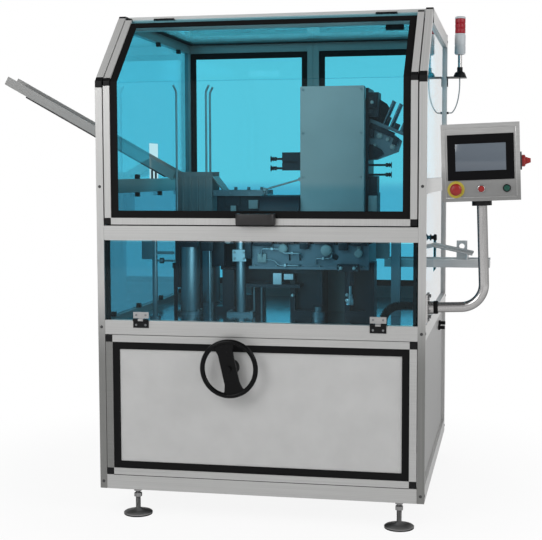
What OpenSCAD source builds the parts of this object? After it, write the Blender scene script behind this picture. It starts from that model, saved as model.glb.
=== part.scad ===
// Automatic cartoner: a packing machine in an aluminium profile frame with clear guards.
// Working axes: X along the front from the frame's left face, Y from the front face to
// the back, Z up from the frame's underside. place() then moves the whole machine so
// that the origin is on the floor, at the middle of the overall plan.

/* [Frame] */
// Width of the frame over its posts
frame_w = 1350; // [1250:10:1500]
// Depth of the frame from front to back
frame_d = 1400; // [1300:10:1550]
// Height of the frame above its feet
frame_h = 1990; // [1950:5:2100]
// Side of the square post profile
post_w = 30; // [26:1:36]
// Height of the double beam profile
beam_h = 60; // [50:1:70]
// Height of the knee, where the front starts to slope back
knee_h = 1690; // [1650:5:1730]
// Distance that the top of the sloped front is set back
slope_back = 325; // [280:5:360]
// Height of the underside of the table beams
table_beam_z = 650; // [620:5:680]
// Height of the underside of the beam below the upper door
middle_beam_z = 1040; // [1020:5:1060]
// Height of the underside of the rail half way up each side
side_rail_z = 1230; // [1200:5:1250]
// Height of the table beam at the back
rear_beam_h = 90; // [80:1:100]
// Width of the centre post at the back
rear_post_w = 60; // [50:1:80]
// Length of the black joint blocks on each side of the knee
knee_block = 26; // [22:1:34]
// Length of the black caps at the top of the sloped posts
top_block = 12; // [8:1:20]

/* [Feet] */
// Height of the levelling feet
foot_h = 105; // [90:1:140]
// Diameter of the foot pads
foot_pad_d = 120; // [90:1:140]
// Diameter of the threaded foot stems
foot_stem_d = 20; // [16:1:24]
// Distance of the left feet from the frame's left face
foot_left = 160; // [120:5:220]
// Distance of the right feet from the frame's right face
foot_right = 100; // [80:5:220]

/* [Panels] */
// Thickness of the clear guard sheets
glass_t = 6; // [4:1:8]
// Thickness of the white base sheets
sheet_t = 3; // [2:0.5:5]
// Width of the black rubber band round the framed sheets
band_w = 30; // [20:1:36]
// Thickness of the rubber band
band_t = 4; // [2:0.5:6]
// Width of the silver frame of the lift-off front panel
panel_frame_w = 29; // [22:1:36]
// Gap round the lift-off front panel
panel_gap = 2; // [1:0.5:4]
// Side of the black clips that hold the side sheets
clip_w = 20; // [14:1:26]
// Distance between the clips along a side
clip_pitch = 345; // [300:5:380]
// Distance of the first clip from the front
clip_first = 110; // [80:5:140]

/* [Guard door] */
// Gap between a moving guard and the frame
door_gap = 5; // [5:0.5:8]
// Width of the door's silver frame
door_frame_w = 27; // [22:1:34]
// Depth of the door's silver frame
door_frame_t = 26; // [20:1:30]
// Length of the bridge handle
handle_l = 160; // [120:5:200]
// Height of the bridge handle
handle_h = 46; // [36:1:60]
// Distance that the handle stands out
handle_out = 38; // [30:1:50]
// Middle of the handle from the frame's left face
handle_x = 672; // [500:1:800]
// Distance of the top hinges from each side of the door
door_hinge_in = 150; // [100:5:300]
// Length of a top hinge
door_hinge_l = 90; // [60:5:120]
// Radius of the top hinges' pins
door_pin_r = 4; // [3:0.5:5]

/* [Lower flap] */
// Middle of the left flap hinge from the frame's left face
flap_hinge_x = 186; // [150:1:260]
// Length of a flap hinge
flap_hinge_l = 66; // [50:1:90]
// Width of the hinge leaf on the flap
flap_leaf_h = 26; // [18:1:34]
// Thickness of the hinge leaves
flap_leaf_t = 3; // [2:0.5:4]
// Radius of the flap hinges' pins
flap_pin_r = 2.5; // [2:0.5:4]

/* [Handwheel] */
// Diameter of the handwheel over its rim
wheel_d = 240; // [200:5:280]
// Thickness of the rim
wheel_rim_d = 20; // [16:1:26]
// Width of the flat web across the wheel
wheel_web_w = 62; // [45:1:75]
// Middle of the wheel from the frame's left face
wheel_x = 568; // [450:1:700]
// Height of the wheel's middle
wheel_z = 528; // [450:1:535]
// Distance of the rim's middle plane in front of the frame
wheel_out = 48; // [40:1:70]
// Turn of the web away from upright
wheel_turn = 12.6; // [0:0.1:90]
// Radius of the handwheel's shaft
wheel_shaft_r = 10; // [8:0.5:12]

/* [Operator panel] */
// Distance of the arm's upright from the frame's right face
arm_out = 226; // [200:2:280]
// Height of the arm's level leg
arm_z = 780; // [750:5:820]
// Distance of the arm behind the front face
arm_y = 60; // [55:1:90]
// Outside diameter of the arm's pipe
arm_d = 40; // [32:1:48]
// Bend radius of the pipe's middle line
arm_bend = 90; // [70:5:120]
// Height of the pipe's top above its level leg
arm_rise = 397; // [350:1:450]
// Lean of the arm towards the frame
arm_lean = 2; // [0:0.1:3]
// Width of the panel box
box_w = 300; // [280:2:340]
// Height of the panel box
box_h = 300; // [280:2:340]
// Depth of the panel box
box_d = 80; // [60:2:100]
// Width of the raised rim round the box's front
box_rim_w = 14; // [8:1:18]
// Height of the raised rim
box_rim_t = 4; // [2:0.5:6]
// Gap between the rim and the black display bezel
bezel_edge = 9; // [6:1:20]
// Height of the black display bezel
bezel_h = 176; // [150:2:180]
// Height of the bezel's lower edge above the box's bottom
bezel_z = 82; // [78:1:90]
// Width of the screen
screen_w = 194; // [160:2:210]
// Height of the screen
screen_h = 106; // [90:2:120]
// Height of the buttons above the box's bottom
button_z = 47; // [42:1:52]
// Gap between the rim and the yellow plate
button_edge = 6; // [4:1:12]
// Diameter of the red mushroom head
mushroom_d = 46; // [36:1:54]
// Diameter of the yellow plate behind the mushroom head
stop_plate_d = 66; // [58:1:72]
// Diameter of the two small buttons
button_d = 30; // [22:1:34]
// Length of the isolator's knob
knob_l = 34; // [26:1:44]
// Diameter of the isolator's knob
knob_d = 46; // [36:1:56]

/* [Tower light] */
// Diameter of the tower light
tower_d = 54; // [40:1:70]
// Distance of the tower light from the frame's right face
tower_out = 64; // [55:1:90]
// Distance of the tower light from the frame's back
tower_back = 66; // [60:1:120]
// Height of the tower light's bracket
tower_z = 1780; // [1740:5:1820]
// Height of the red lens
lens_h = 84; // [60:1:100]
// Height of the plain body below the lens
tower_body_h = 102; // [80:1:130]
// Height of the thin pole below the body
tower_pole_h = 62; // [40:1:90]

/* [Infeed chute] */
// Length of the chute
chute_l = 940; // [850:5:1000]
// Height of the chute's side walls
chute_h = 41; // [34:1:50]
// Width of the chute
chute_w = 120; // [100:2:140]
// Slope of the chute
chute_slope = 29; // [26:0.5:32]
// Wall of the chute's sheet
chute_t = 4; // [3:0.5:6]
// Distance of the chute's lower end from the frame's left face
chute_end_x = 139; // [120:1:150]
// Height of the lower end's top edge
chute_end_z = 1320; // [1310:1:1340]
// Distance of the chute's front wall behind the front face
chute_y = 700; // [660:5:740]
// Distance of the black strip from the chute's upper end
strip_start = 120; // [80:5:180]
// Height of the notch that lets the chute through the guard
notch_h = 164; // [150:2:200]

/* [Tables and bed] */
// Height of the top of the base table
table_top_z = 680; // [660:1:690]
// Thickness of the base table
table_t = 20; // [15:1:25]
// Height of the underside of the upper table
upper_table_z = 1060; // [1050:5:1075]
// Thickness of the upper table
upper_table_t = 25; // [20:1:30]
// Distance of the upper table from the frame's left face
upper_table_x = 100; // [80:5:130]
// Distance of the upper table's right end from the frame's right face
upper_table_in = 200; // [180:5:240]
// Distance of the upper table's front edge behind the front face
upper_table_y = 460; // [450:5:480]
// Depth of the upper table
upper_table_d = 520; // [480:5:600]
// Diameter of the main pillars
pillar_d = 86; // [70:1:100]
// Middle of the left pillars from the frame's left face
pillar_x = 254; // [240:1:280]
// Distance of the bed's left end from the frame's left face
bed_x = 545; // [530:1:600]
// Length of the bed
bed_w = 521; // [500:1:540]
// Height of the bed
bed_h = 110; // [90:1:120]
// Height of the bed's underside
bed_z = 890; // [870:1:900]

/* [Product path] */
// Width of the product magazine
mag_w = 176; // [160:2:190]
// Wall of the product magazine
mag_wall = 8; // [6:0.5:12]
// Diameter of the magazine's guide rods
rod_d = 10; // [8:1:14]
// Height at which the guide rods bend outwards
rod_top_z = 1680; // [1620:5:1700]
// Height of the conveyor's rails
conveyor_h = 27; // [22:1:32]
// Right end of the conveyor from the frame's left face
conveyor_end = 577; // [560:1:590]
// Height of the outfeed tray's top
tray_z = 930; // [915:1:960]
// Distance that the outfeed tray reaches beyond the frame
tray_out = 233; // [200:1:260]
// Width of the outfeed tray
tray_w = 160; // [150:2:170]

/* [Carton feeder] */
// Distance of the grey cover from the frame's left face
cover_x = 745; // [742:1:760]
// Width of the grey cover
cover_w = 287; // [260:1:300]
// Depth of the grey cover
cover_d = 50; // [40:1:60]
// Height of the top of the grey cover
cover_top_z = 1697; // [1690:1:1740]
// Lean of the carton magazine
carton_lean = 23; // [18:0.5:28]
// Length of the carton magazine's rods
carton_rod_l = 113; // [90:1:130]
// Diameter of the suction cups
cup_d = 30; // [22:1:36]

/* [Hidden] */
$fn = 48;

SILVER = [0.80, 0.80, 0.80];
STEEL = [0.62, 0.63, 0.65];
BLACK = [0.06, 0.06, 0.06];
WHITE = [0.86, 0.86, 0.86];
CYAN = [0.30, 0.75, 0.85, 0.5];
GREY = [0.55, 0.58, 0.60];
DARK = [0.20, 0.22, 0.25];

// Running clearance of a pin in its bore, and of a seat that only turns
running = 0.05;
seat_gap = 0.3;

// The slope: su is its run and sv its rise for each millimetre along it
slope_rise = frame_h - knee_h;
slope_len = sqrt(slope_back * slope_back + slope_rise * slope_rise);
su = slope_back / slope_len;
sv = slope_rise / slope_len;

// A point in the side view, a along the slope from the knee and t in from its face
function slope_at(a, t) = [a * su + t * sv, knee_h + a * sv - t * su];

// Height at which a line t behind the upright front meets the line t under the slope
function bend_z(t) = knee_h - t * su + t * (1 - sv) / su * sv;

table_beam_top = table_beam_z + beam_h;
rear_beam_top = table_beam_z + rear_beam_h;
middle_beam_top = middle_beam_z + beam_h;
side_rail_top = side_rail_z + beam_h;
top_beam_z = frame_h - beam_h;

// Front end of the level top beams, flush with the back of the top caps
top_beam_y = slope_at(slope_len - top_block, (beam_h - top_block * sv) / su)[0];
rear_in = frame_d - post_w;
rear_mid = (frame_w - rear_post_w) / 2;

// Upper door
door_x0 = post_w + door_gap;
door_x1 = frame_w - door_x0;
door_z0 = middle_beam_top + door_gap;
door_end = slope_len - top_block - door_gap;
door_rail_end = door_end - door_frame_w;
door_knee = 20;
glass_y = 10;
door_knuckle_r = door_pin_r + 4;
door_axis_y = top_beam_y - 17;
door_axis_z = frame_h - 18;

// Lower flap
flap_z0 = table_beam_top + door_gap;
flap_z1 = middle_beam_z - door_gap;
flap_y = 2;
flap_knuckle_r = flap_pin_r + 2.5;
flap_axis_y = -flap_knuckle_r;
flap_axis_z = table_beam_top + 2;
seal_w = 20;
seal_y = flap_y + glass_t + door_gap + 1;

// Base front panel
panel_x0 = post_w + panel_gap;
panel_x1 = frame_w - panel_x0;
panel_z0 = beam_h;
panel_z1 = table_beam_z - panel_gap;
panel_t = 24;
sheet_y = 8;

// Operator panel
collar_t = 18;
box_z0 = arm_rise + collar_t + seat_gap;
box_y0 = -box_d / 2;
bezel_w = box_w - 2 * (box_rim_w + bezel_edge);
button_pitch = box_w / 2 - box_rim_w - button_edge - stop_plate_d / 2;
spigot_r = 16;
spigot_l = 30;
stem_r = 8;
stem_l = 20;
bezel_t = 8;
button_travel = 3;
isolator_w = 70;
isolator_t = 6;
arm_plate = 110;
arm_plate_t = 8;

// Tower light: height of its socket, foot of its lens, and the route of its cable from the
// bracket down to the gland on the rear post, measured from the frame's back right edge
tower_socket = 50;
tower_lens_z = tower_z + tower_socket + tower_pole_h + tower_body_h;
cable_d = 6;
cable_points = [
  [64, -66, 1780], [64, -66, 1765], [64, -65, 1745], [63, -63, 1725], [61, -60, 1705],
  [58, -56, 1685], [54, -51, 1667], [49, -46, 1650], [43, -40, 1636], [37, -34, 1625],
  [31, -28, 1617], [26, -22, 1612], [21, -17, 1610], [15, -15, 1610], [8, -15, 1610]
];
cable_end = cable_points[len(cable_points) - 1];

// Product path: the magazine's box, the conveyor's underside and the outfeed tray's front
upper_top = upper_table_z + upper_table_t;
mag_x0 = chute_end_x + 1;
mag_x1 = mag_x0 + mag_w;
mag_y0 = chute_y - mag_wall - 2;
mag_y1 = chute_y + chute_w + mag_wall + 2;
mag_top = chute_end_z;
conveyor_z = upper_top + 124;
rail_w = 16;
rod_bend = 27;
rod_bend_l = 22;
tray_y = chute_y - 60;
tray_t = 35;

// Carton feeder: the cover's face, and the side plate that the carton magazine hangs on
cover_y = 600;
feeder_y = cover_y + cover_d;
feeder_x = cover_x + cover_w;
feeder_plate = 13;
feeder_face = feeder_x + feeder_plate;

// Dark columns under the bed, each by its left face and its width
columns = [[bed_x + 165, 145], [bed_x + 410, 111]];
bed_y = 500;
bed_d = 300;
bed_flange = 12;
column_y = bed_y + 40;
bed_end = bed_x + bed_w;

// Cross bar in front of the columns, by its underside and its thickness
bar_z = bed_z - 84;
bar_t = 15;

// Overall plan: the chute's end, the isolator's tip, the handwheel's nose and the back feet
wheel_nose = 16;
chute_cos = cos(chute_slope);
chute_sin = sin(chute_slope);
left_end = chute_end_x - chute_l * chute_cos - chute_h * chute_sin;
knob_low = box_z0 + box_h / 2 - knob_d / 2;
knob_tip = arm_out + box_w / 2 + isolator_t + knob_l;
right_end = frame_w + knob_tip * cos(arm_lean) - knob_low * sin(arm_lean);
front_end = -wheel_out - wheel_nose;
back_end = frame_d + (foot_pad_d - post_w) / 2;
mid_x = (left_end + right_end) / 2;
mid_y = (front_end + back_end) / 2;

module place() {
  translate([-mid_x, -mid_y, foot_h]) children();
}

// A box from one corner to the other
module span(a, b) {
  translate(a) cube(b - a);
}

// A side-view outline carried across the machine from x for a width w
module across(x, w) {
  translate([x, 0, 0]) rotate([90, 0, 90]) linear_extrude(w) children();
}

// A front-view outline carried back from y for a depth d
module back(y, d) {
  translate([0, y + d, 0]) rotate([90, 0, 0]) linear_extrude(d) children();
}

// A stretch of the sloped plane from a0 to a1 along it and t0 to t1 in from its face
module slope_bar(a0, a1, t0, t1) {
  polygon([slope_at(a0, t0), slope_at(a1, t0), slope_at(a1, t1), slope_at(a0, t1)]);
}

// The knee's outline: an upright part k high below and a sloped part k long above
module knee_outline(k, t) {
  polygon([[0, knee_h - k], [0, knee_h], slope_at(k, 0), slope_at(k, t), [t, bend_z(t)], [t, knee_h - k]]);
}

// The same things on the left and on the right
module both_sides() {
  children();
  translate([frame_w, 0, 0]) mirror([1, 0, 0]) children();
}

// Frame of aluminium profile
module front_posts() {
  color(SILVER) place() both_sides()
    span([0, 0, 0], [post_w, post_w, knee_h - knee_block]);
}

module sloped_posts() {
  color(SILVER) place() both_sides()
    across(0, post_w) slope_bar(knee_block, slope_len - top_block, 0, post_w);
}

module rear_posts() {
  color(SILVER) place() {
    both_sides() span([0, rear_in, 0], [post_w, frame_d, frame_h]);
    difference() {
      span([rear_mid, rear_in, 0], [rear_mid + rear_post_w, frame_d, frame_h]);
      for (y = [rear_in - 1, frame_d - 1])
        span([frame_w / 2 - 2, y, -1], [frame_w / 2 + 2, y + 2, frame_h + 1]);
    }
  }
}

module front_beams() {
  color(SILVER) place() {
    for (z = [0, table_beam_z, middle_beam_z])
      span([post_w, 0, z], [frame_w - post_w, post_w, z + beam_h]);
    span([post_w, top_beam_y, top_beam_z], [frame_w - post_w, top_beam_y + post_w, frame_h]);
  }
}

module side_beams() {
  color(SILVER) place() both_sides() {
    for (z = [0, table_beam_z, side_rail_z])
      span([0, post_w, z], [post_w, rear_in, z + beam_h]);
    span([0, top_beam_y, top_beam_z], [post_w, rear_in, frame_h]);
  }
}

module rear_beams() {
  color(SILVER) place() both_sides()
    for (b = [[0, beam_h], [table_beam_z, rear_beam_h], [top_beam_z, beam_h]])
      span([post_w, rear_in, b[0]], [rear_mid, frame_d, b[0] + b[1]]);
}

// Black moulded blocks: frame knees, top caps and the corners of the lift-off panel
module corner_blocks() {
  color(BLACK) place() both_sides() {
    across(0, post_w) knee_outline(knee_block, post_w);
    across(0, post_w) polygon([
      slope_at(slope_len - top_block, 0),
      slope_at(slope_len, 0),
      [top_beam_y, frame_h],
      [top_beam_y, top_beam_z]
    ]);
    for (z = [panel_z0, panel_z1 - panel_frame_w])
      span([panel_x0, 0, z], [panel_x0 + panel_frame_w, panel_t, z + panel_frame_w]);
  }
}

module levelling_feet() {
  nut_t = 16;
  nut_z = 22 - foot_h;
  color(STEEL) place()
    for (x = [foot_left, frame_w - foot_right], y = [post_w / 2, frame_d - post_w / 2])
      translate([x, y, 0]) {
        translate([0, 0, -foot_h]) rotate_extrude() polygon([
          [0, 0],
          [foot_pad_d / 2, 0],
          [foot_pad_d / 2, 7],
          [foot_stem_d, 20],
          [foot_stem_d / 2, 24],
          [foot_stem_d / 2, foot_h],
          [0, foot_h]
        ]);
        translate([0, 0, nut_z + foot_h / 2]) cylinder(h = nut_t, r = foot_stem_d * 0.85, $fn = 6);
      }
}

// Base table, set between the table beams
module table_plate() {
  color(STEEL) place()
    span([post_w, post_w, table_top_z - table_t], [frame_w - post_w, rear_in, table_top_z]);
}

// White sheets round the base: left, right, two behind and the lift-off front sheet
module base_panels() {
  inset = (post_w - sheet_t) / 2;
  shaft_hole = wheel_shaft_r + 6;
  color(WHITE) place() {
    both_sides() span([inset, post_w, beam_h], [inset + sheet_t, rear_in, table_beam_z]);
    both_sides() span([post_w, frame_d - inset - sheet_t, beam_h], [rear_mid, frame_d - inset, table_beam_z]);
    difference() {
      span(
        [panel_x0 + panel_frame_w, sheet_y, panel_z0 + panel_frame_w],
        [panel_x1 - panel_frame_w, sheet_y + sheet_t, panel_z1 - panel_frame_w]
      );
      translate([wheel_x, sheet_y - 1, wheel_z]) rotate([-90, 0, 0])
        cylinder(h = sheet_t + 2, r = shaft_hole);
    }
  }
}

// Silver rails and stiles of the lift-off front panel
module base_front_frame() {
  color(SILVER) place() {
    both_sides() span(
      [panel_x0, 0, panel_z0 + panel_frame_w],
      [panel_x0 + panel_frame_w, panel_t, panel_z1 - panel_frame_w]
    );
    for (z = [panel_z0, panel_z1 - panel_frame_w])
      span([panel_x0 + panel_frame_w, 0, z], [panel_x1 - panel_frame_w, panel_t, z + panel_frame_w]);
  }
}

// A flat ring of rubber band round a rectangle, w by h
module band_ring(w, h) {
  difference() {
    square([w, h]);
    translate([band_w, band_w]) square([w - 2 * band_w, h - 2 * band_w]);
  }
}

// Black rubber bands round the front sheet, the rear guards and the roof
module panel_bands() {
  front_x = panel_x0 + panel_frame_w;
  front_z = panel_z0 + panel_frame_w;
  rear_y = rear_in + (post_w - glass_t) / 2 - band_t;
  rear_z = rear_beam_top;
  roof_y = top_beam_y + post_w;
  color(BLACK) place() {
    translate([front_x, 0, front_z]) back(sheet_y - band_t, band_t)
      band_ring(frame_w - 2 * front_x, panel_z1 - panel_frame_w - front_z);
    for (x = [post_w, rear_mid + rear_post_w])
      translate([x, 0, rear_z]) back(rear_y, band_t) band_ring(rear_mid - post_w, top_beam_z - rear_z);
    translate([post_w, roof_y, frame_h - post_w / 2 - band_t])
      linear_extrude(band_t) band_ring(frame_w - 2 * post_w, rear_in - roof_y);
  }
}

// Clear side guards: the left upper one is notched for the chute, the right lower one
// has the outfeed opening
module side_panels() {
  inset = (post_w - glass_t) / 2;
  notch_y = chute_y - 18;
  tray_y0 = tray_y - 15;
  tray_y1 = tray_y + tray_w + 15;
  color(CYAN) place() {
    difference() {
      both_sides() across(inset, glass_t) polygon([
        [post_w, side_rail_top],
        [post_w, bend_z(post_w)],
        slope_at(slope_len - top_block, post_w),
        [top_beam_y, top_beam_z],
        [rear_in, top_beam_z],
        [rear_in, side_rail_top]
      ]);
      span([0, notch_y, side_rail_top - 1], [post_w, notch_y + chute_w + 36, side_rail_top + notch_h]);
    }
    difference() {
      both_sides() span([inset, post_w, table_beam_top], [inset + glass_t, rear_in, side_rail_z]);
      span([frame_w - post_w, tray_y0, tray_z - 55], [frame_w, tray_y1, tray_z + 95]);
    }
  }
}

module rear_panels() {
  inset = (post_w - glass_t) / 2;
  color(CYAN) place() both_sides()
    span([post_w, rear_in + inset, rear_beam_top], [rear_mid, rear_in + inset + glass_t, top_beam_z]);
}

module roof_panel() {
  color(CYAN) place() span(
    [post_w, top_beam_y + post_w, frame_h - post_w / 2],
    [frame_w - post_w, rear_in, frame_h - post_w / 2 + glass_t]
  );
}

// Black clips on the rails, against the inner faces of the side guards
module panel_clips() {
  x0 = (post_w + glass_t) / 2;
  color(BLACK) place() both_sides()
    for (i = [0:3]) {
      y = clip_first + i * clip_pitch;
      for (z = [table_beam_top, side_rail_z - clip_w])
        span([x0, y, z], [x0 + clip_w, y + clip_w, z + clip_w]);
      if (i == 1 || i == 3)
        span([x0, y, side_rail_top], [x0 + clip_w, y + clip_w, side_rail_top + clip_w]);
      if (i > 1)
        span([x0, y, top_beam_z - clip_w], [x0 + clip_w, y + clip_w, top_beam_z]);
    }
}

// Black strips that the closed flap shuts against
module flap_seals() {
  color(BLACK) place() {
    both_sides() span([post_w, seal_y, table_beam_top], [post_w + seal_w, seal_y + 8, middle_beam_z]);
  }
}

// A hinge knuckle along X about a pin line, from x for a length l
module knuckle(x, y, z, l, r) {
  translate([x, y, z]) rotate([0, 90, 0]) cylinder(h = l, r = r);
}

// Fixed halves of the hinges, each with its pin
module hinge_bases() {
  third = flap_hinge_l / 3;
  door_third = door_hinge_l / 3;
  color(BLACK) place() both_sides() {
    translate([flap_hinge_x - flap_hinge_l / 2, 0, 0]) {
      span([0, -flap_leaf_t, table_beam_z + 30], [flap_hinge_l, 0, flap_axis_z - flap_knuckle_r - seat_gap]);
      for (x = [0, 2 * third]) {
        knuckle(x, flap_axis_y, flap_axis_z, third - seat_gap, flap_knuckle_r);
        span([x, -flap_leaf_t, table_beam_z + 30], [x + third - seat_gap, 0, flap_axis_z - 1]);
      }
      knuckle(0, flap_axis_y, flap_axis_z, flap_hinge_l, flap_pin_r);
    }
    translate([door_hinge_in, 0, 0]) {
      for (x = [0, 2 * door_third]) {
        knuckle(x, door_axis_y, door_axis_z, door_third - seat_gap, door_knuckle_r);
        span([x, door_axis_y, door_axis_z - 4], [x + door_third - seat_gap, top_beam_y, door_axis_z + 4]);
      }
      knuckle(0, door_axis_y, door_axis_z, door_hinge_l, door_pin_r);
    }
  }
}

// Bearing flange on the front sheet that carries the handwheel's shaft
module wheel_bearing() {
  color(BLACK) place() translate([wheel_x, sheet_y, wheel_z]) rotate([90, 0, 0]) difference() {
    union() {
      cylinder(h = 6, r = wheel_shaft_r + 22);
      cylinder(h = 16, r = wheel_shaft_r + 10);
    }
    translate([0, 0, -1]) cylinder(h = 18, r = wheel_shaft_r + running);
  }
}

// The arm's own axes: its root on the frame's side, leaning with the arm
module on_arm() {
  translate([frame_w, arm_y, arm_z]) rotate([0, -arm_lean, 0]) children();
}

// The box's own axes: the swivel line, at the box's underside
module on_box() {
  on_arm() translate([arm_out, 0, box_z0]) children();
}

// Stainless pipe arm: a plate on the post, a level leg, a bend and an upright
module panel_arm() {
  r = arm_d / 2;
  color(STEEL) place() {
    translate([frame_w, 0, arm_z - arm_plate / 2]) cube([arm_plate_t, arm_y + arm_plate / 2, arm_plate]);
    translate([frame_w + arm_plate_t, arm_y, arm_z]) rotate([0, 90, 0]) cylinder(h = 20, r = r + 5);
    on_arm() {
      translate([arm_plate_t + 4, 0, 0]) rotate([0, 90, 0])
        cylinder(h = arm_out - arm_bend - arm_plate_t - 4, r = r);
      translate([arm_out - arm_bend, 0, arm_bend]) rotate([90, 0, 0]) rotate_extrude(angle = -90)
        translate([arm_bend, 0]) circle(r = r);
      translate([arm_out, 0, arm_bend]) cylinder(h = arm_rise - arm_bend, r = r);
    }
  }
}

// Black swivel collar on the pipe's top, with the spigot that the box turns on
module arm_collar() {
  color(BLACK) place() on_arm() translate([arm_out, 0, arm_rise]) {
    cylinder(h = collar_t, r = arm_d * 0.96);
    cylinder(h = collar_t + spigot_l, r = spigot_r);
  }
}

// Tower light on an angle bracket at the back of the right side
module tower_base() {
  plate_t = 4;
  reach = 32;
  color(BLACK) place() {
    span(
      [frame_w, frame_d - tower_back - reach, tower_z],
      [frame_w + tower_out + reach, frame_d, tower_z + plate_t]
    );
    span([frame_w, rear_in, tower_z - 40], [frame_w + plate_t, frame_d, tower_z]);
    translate([frame_w + tower_out, frame_d - tower_back, tower_z + plate_t]) rotate_extrude() polygon([
      [0, 0], [30, 0], [30, 6], [24, 20], [14, 26], [14, tower_socket - plate_t], [0, tower_socket - plate_t]
    ]);
    translate([frame_w, frame_d + cable_end[1], cable_end[2]]) rotate([0, 90, 0])
      cylinder(h = cable_end[0], r = cable_d);
  }
}

module tower_body() {
  body_top = tower_pole_h + tower_body_h;
  color(WHITE) place() translate([frame_w + tower_out, frame_d - tower_back, tower_z + tower_socket])
    rotate_extrude() polygon([
      [0, 0], [11, 0], [11, tower_pole_h], [tower_d / 2 - 4, tower_pole_h + 2],
      [tower_d / 2, tower_pole_h + 8], [tower_d / 2, body_top], [0, body_top]
    ]);
}

module tower_lens() {
  color([0.75, 0.08, 0.12])
    place() translate([frame_w + tower_out, frame_d - tower_back, tower_lens_z]) rotate_extrude()
      polygon([
        [0, 0], [tower_d / 2 - 1, 0], [tower_d / 2 - 1, lens_h - 4], [tower_d / 2 - 6, lens_h], [0, lens_h]
      ]);
}

// A vector's direction
function unit(v) = v / norm(v);

// Ring of eight points round the cable at its i-th route point
function ring_at(i) =
  let (
    n = len(cable_points),
    d = unit(cable_points[min(i + 1, n - 1)] - cable_points[max(i - 1, 0)]),
    side = unit(cross(d, [0.6, 0.8, 0])),
    up = cross(d, side)
  )
  [for (k = [0:7]) cable_points[i] + cable_d / 2 * (cos(k * 45) * side + sin(k * 45) * up)];

// Thin cable from the tower light's base to its gland on the rear post
module tower_cable() {
  n = len(cable_points);
  rings = [for (i = [0:n - 1]) each ring_at(i)];
  sides = [for (i = [0:n - 2], k = [0:7])
    [i * 8 + k, i * 8 + (k + 1) % 8, (i + 1) * 8 + (k + 1) % 8, (i + 1) * 8 + k]];
  first = [for (k = [7:-1:0]) k];
  last = [for (k = [0:7]) (n - 1) * 8 + k];
  color(GREY) place() translate([frame_w, frame_d, 0])
    polyhedron(points = rings, faces = concat([first], sides, [last]));
}

// The chute's own axes: along it from the lower end's top edge, upwards and back
module on_chute() {
  translate([chute_end_x, chute_y, chute_end_z]) rotate([0, chute_slope, 0])
    translate([-chute_l, 0, -chute_h]) children();
}

// Sheet-metal channel that products slide down
module infeed_chute() {
  color(STEEL) place() on_chute() difference() {
    cube([chute_l, chute_w, chute_h]);
    translate([-1, chute_t, chute_t]) cube([chute_l + 2, chute_w - 2 * chute_t, chute_h]);
  }
}

// Black strip under the chute and the rods that carry it on the left side rail
module chute_strip() {
  strip_t = 8;
  inset = 10;
  rod_r = 5;
  rod_x = post_w / 2;
  strip_drop = (chute_h + strip_t) / chute_cos;
  rod_top = chute_end_z + (chute_end_x - rod_x - rod_r) * tan(chute_slope) - strip_drop - seat_gap;
  color(BLACK) place() {
    on_chute() translate([strip_start, inset, -strip_t])
      cube([chute_l - strip_start - 4 * inset, chute_w - 2 * inset, strip_t]);
    for (y = [chute_y + chute_w / 4, chute_y + chute_w * 3 / 4])
      translate([rod_x, y, side_rail_top]) cylinder(h = rod_top - side_rail_top, r = rod_r);
  }
}

// Outfeed tray through the right guard, with lips, sloping guide rods and a sensor plate
module outfeed_tray() {
  bed_gap = 54;
  x0 = bed_end + bed_gap;
  x1 = frame_w + tray_out;
  lip = 8;
  guide_x = frame_w - 60;
  guide_l = tray_out - 10;
  guide_drop = 12;
  guide_z = tray_z + 70;
  sensor_x = x1 - 152;
  sensor_w = 48;
  color(STEEL) place() {
    difference() {
      span([x0, tray_y, tray_z - tray_t], [x1, tray_y + tray_w, tray_z]);
      span([x0 - 1, tray_y + lip, tray_z - lip], [x1 + 1, tray_y + tray_w - lip, tray_z + 1]);
    }
    for (y = [tray_y + lip / 2, tray_y + tray_w - lip / 2]) {
      translate([guide_x, y, guide_z]) rotate([0, 90 + guide_drop, 0]) cylinder(h = guide_l, r = 6);
      for (x = [20, guide_l - 30])
        translate([guide_x + x, y, tray_z - lip])
          cylinder(h = guide_z - tray_z + lip - x * tan(guide_drop), r = 4);
    }
    difference() {
      span([sensor_x, tray_y + tray_w, tray_z - 20], [sensor_x + sensor_w, tray_y + tray_w + 4, tray_z + 76]);
      translate([sensor_x + sensor_w / 2, tray_y + tray_w - 1, tray_z + 50]) rotate([-90, 0, 0])
        cylinder(h = 6, r = 12);
    }
  }
}

// Upper table that carries the magazine, the cover and the feeder
module upper_table() {
  color(STEEL) place() span(
    [upper_table_x, upper_table_y, upper_table_z],
    [frame_w - upper_table_in, upper_table_y + upper_table_d, upper_top]
  );
}

// A round pillar with a foot flange and a collar under the upper table
module pillar(x, y) {
  h = upper_table_z - table_top_z;
  r = pillar_d / 2;
  foot_t = 14;
  collar = 34;
  translate([x, y, table_top_z]) rotate_extrude() polygon([
    [0, 0], [r + 16, 0], [r + 16, foot_t], [r, foot_t],
    [r, h - collar], [r + 9, h - collar], [r + 9, h], [0, h]
  ]);
}

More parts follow.
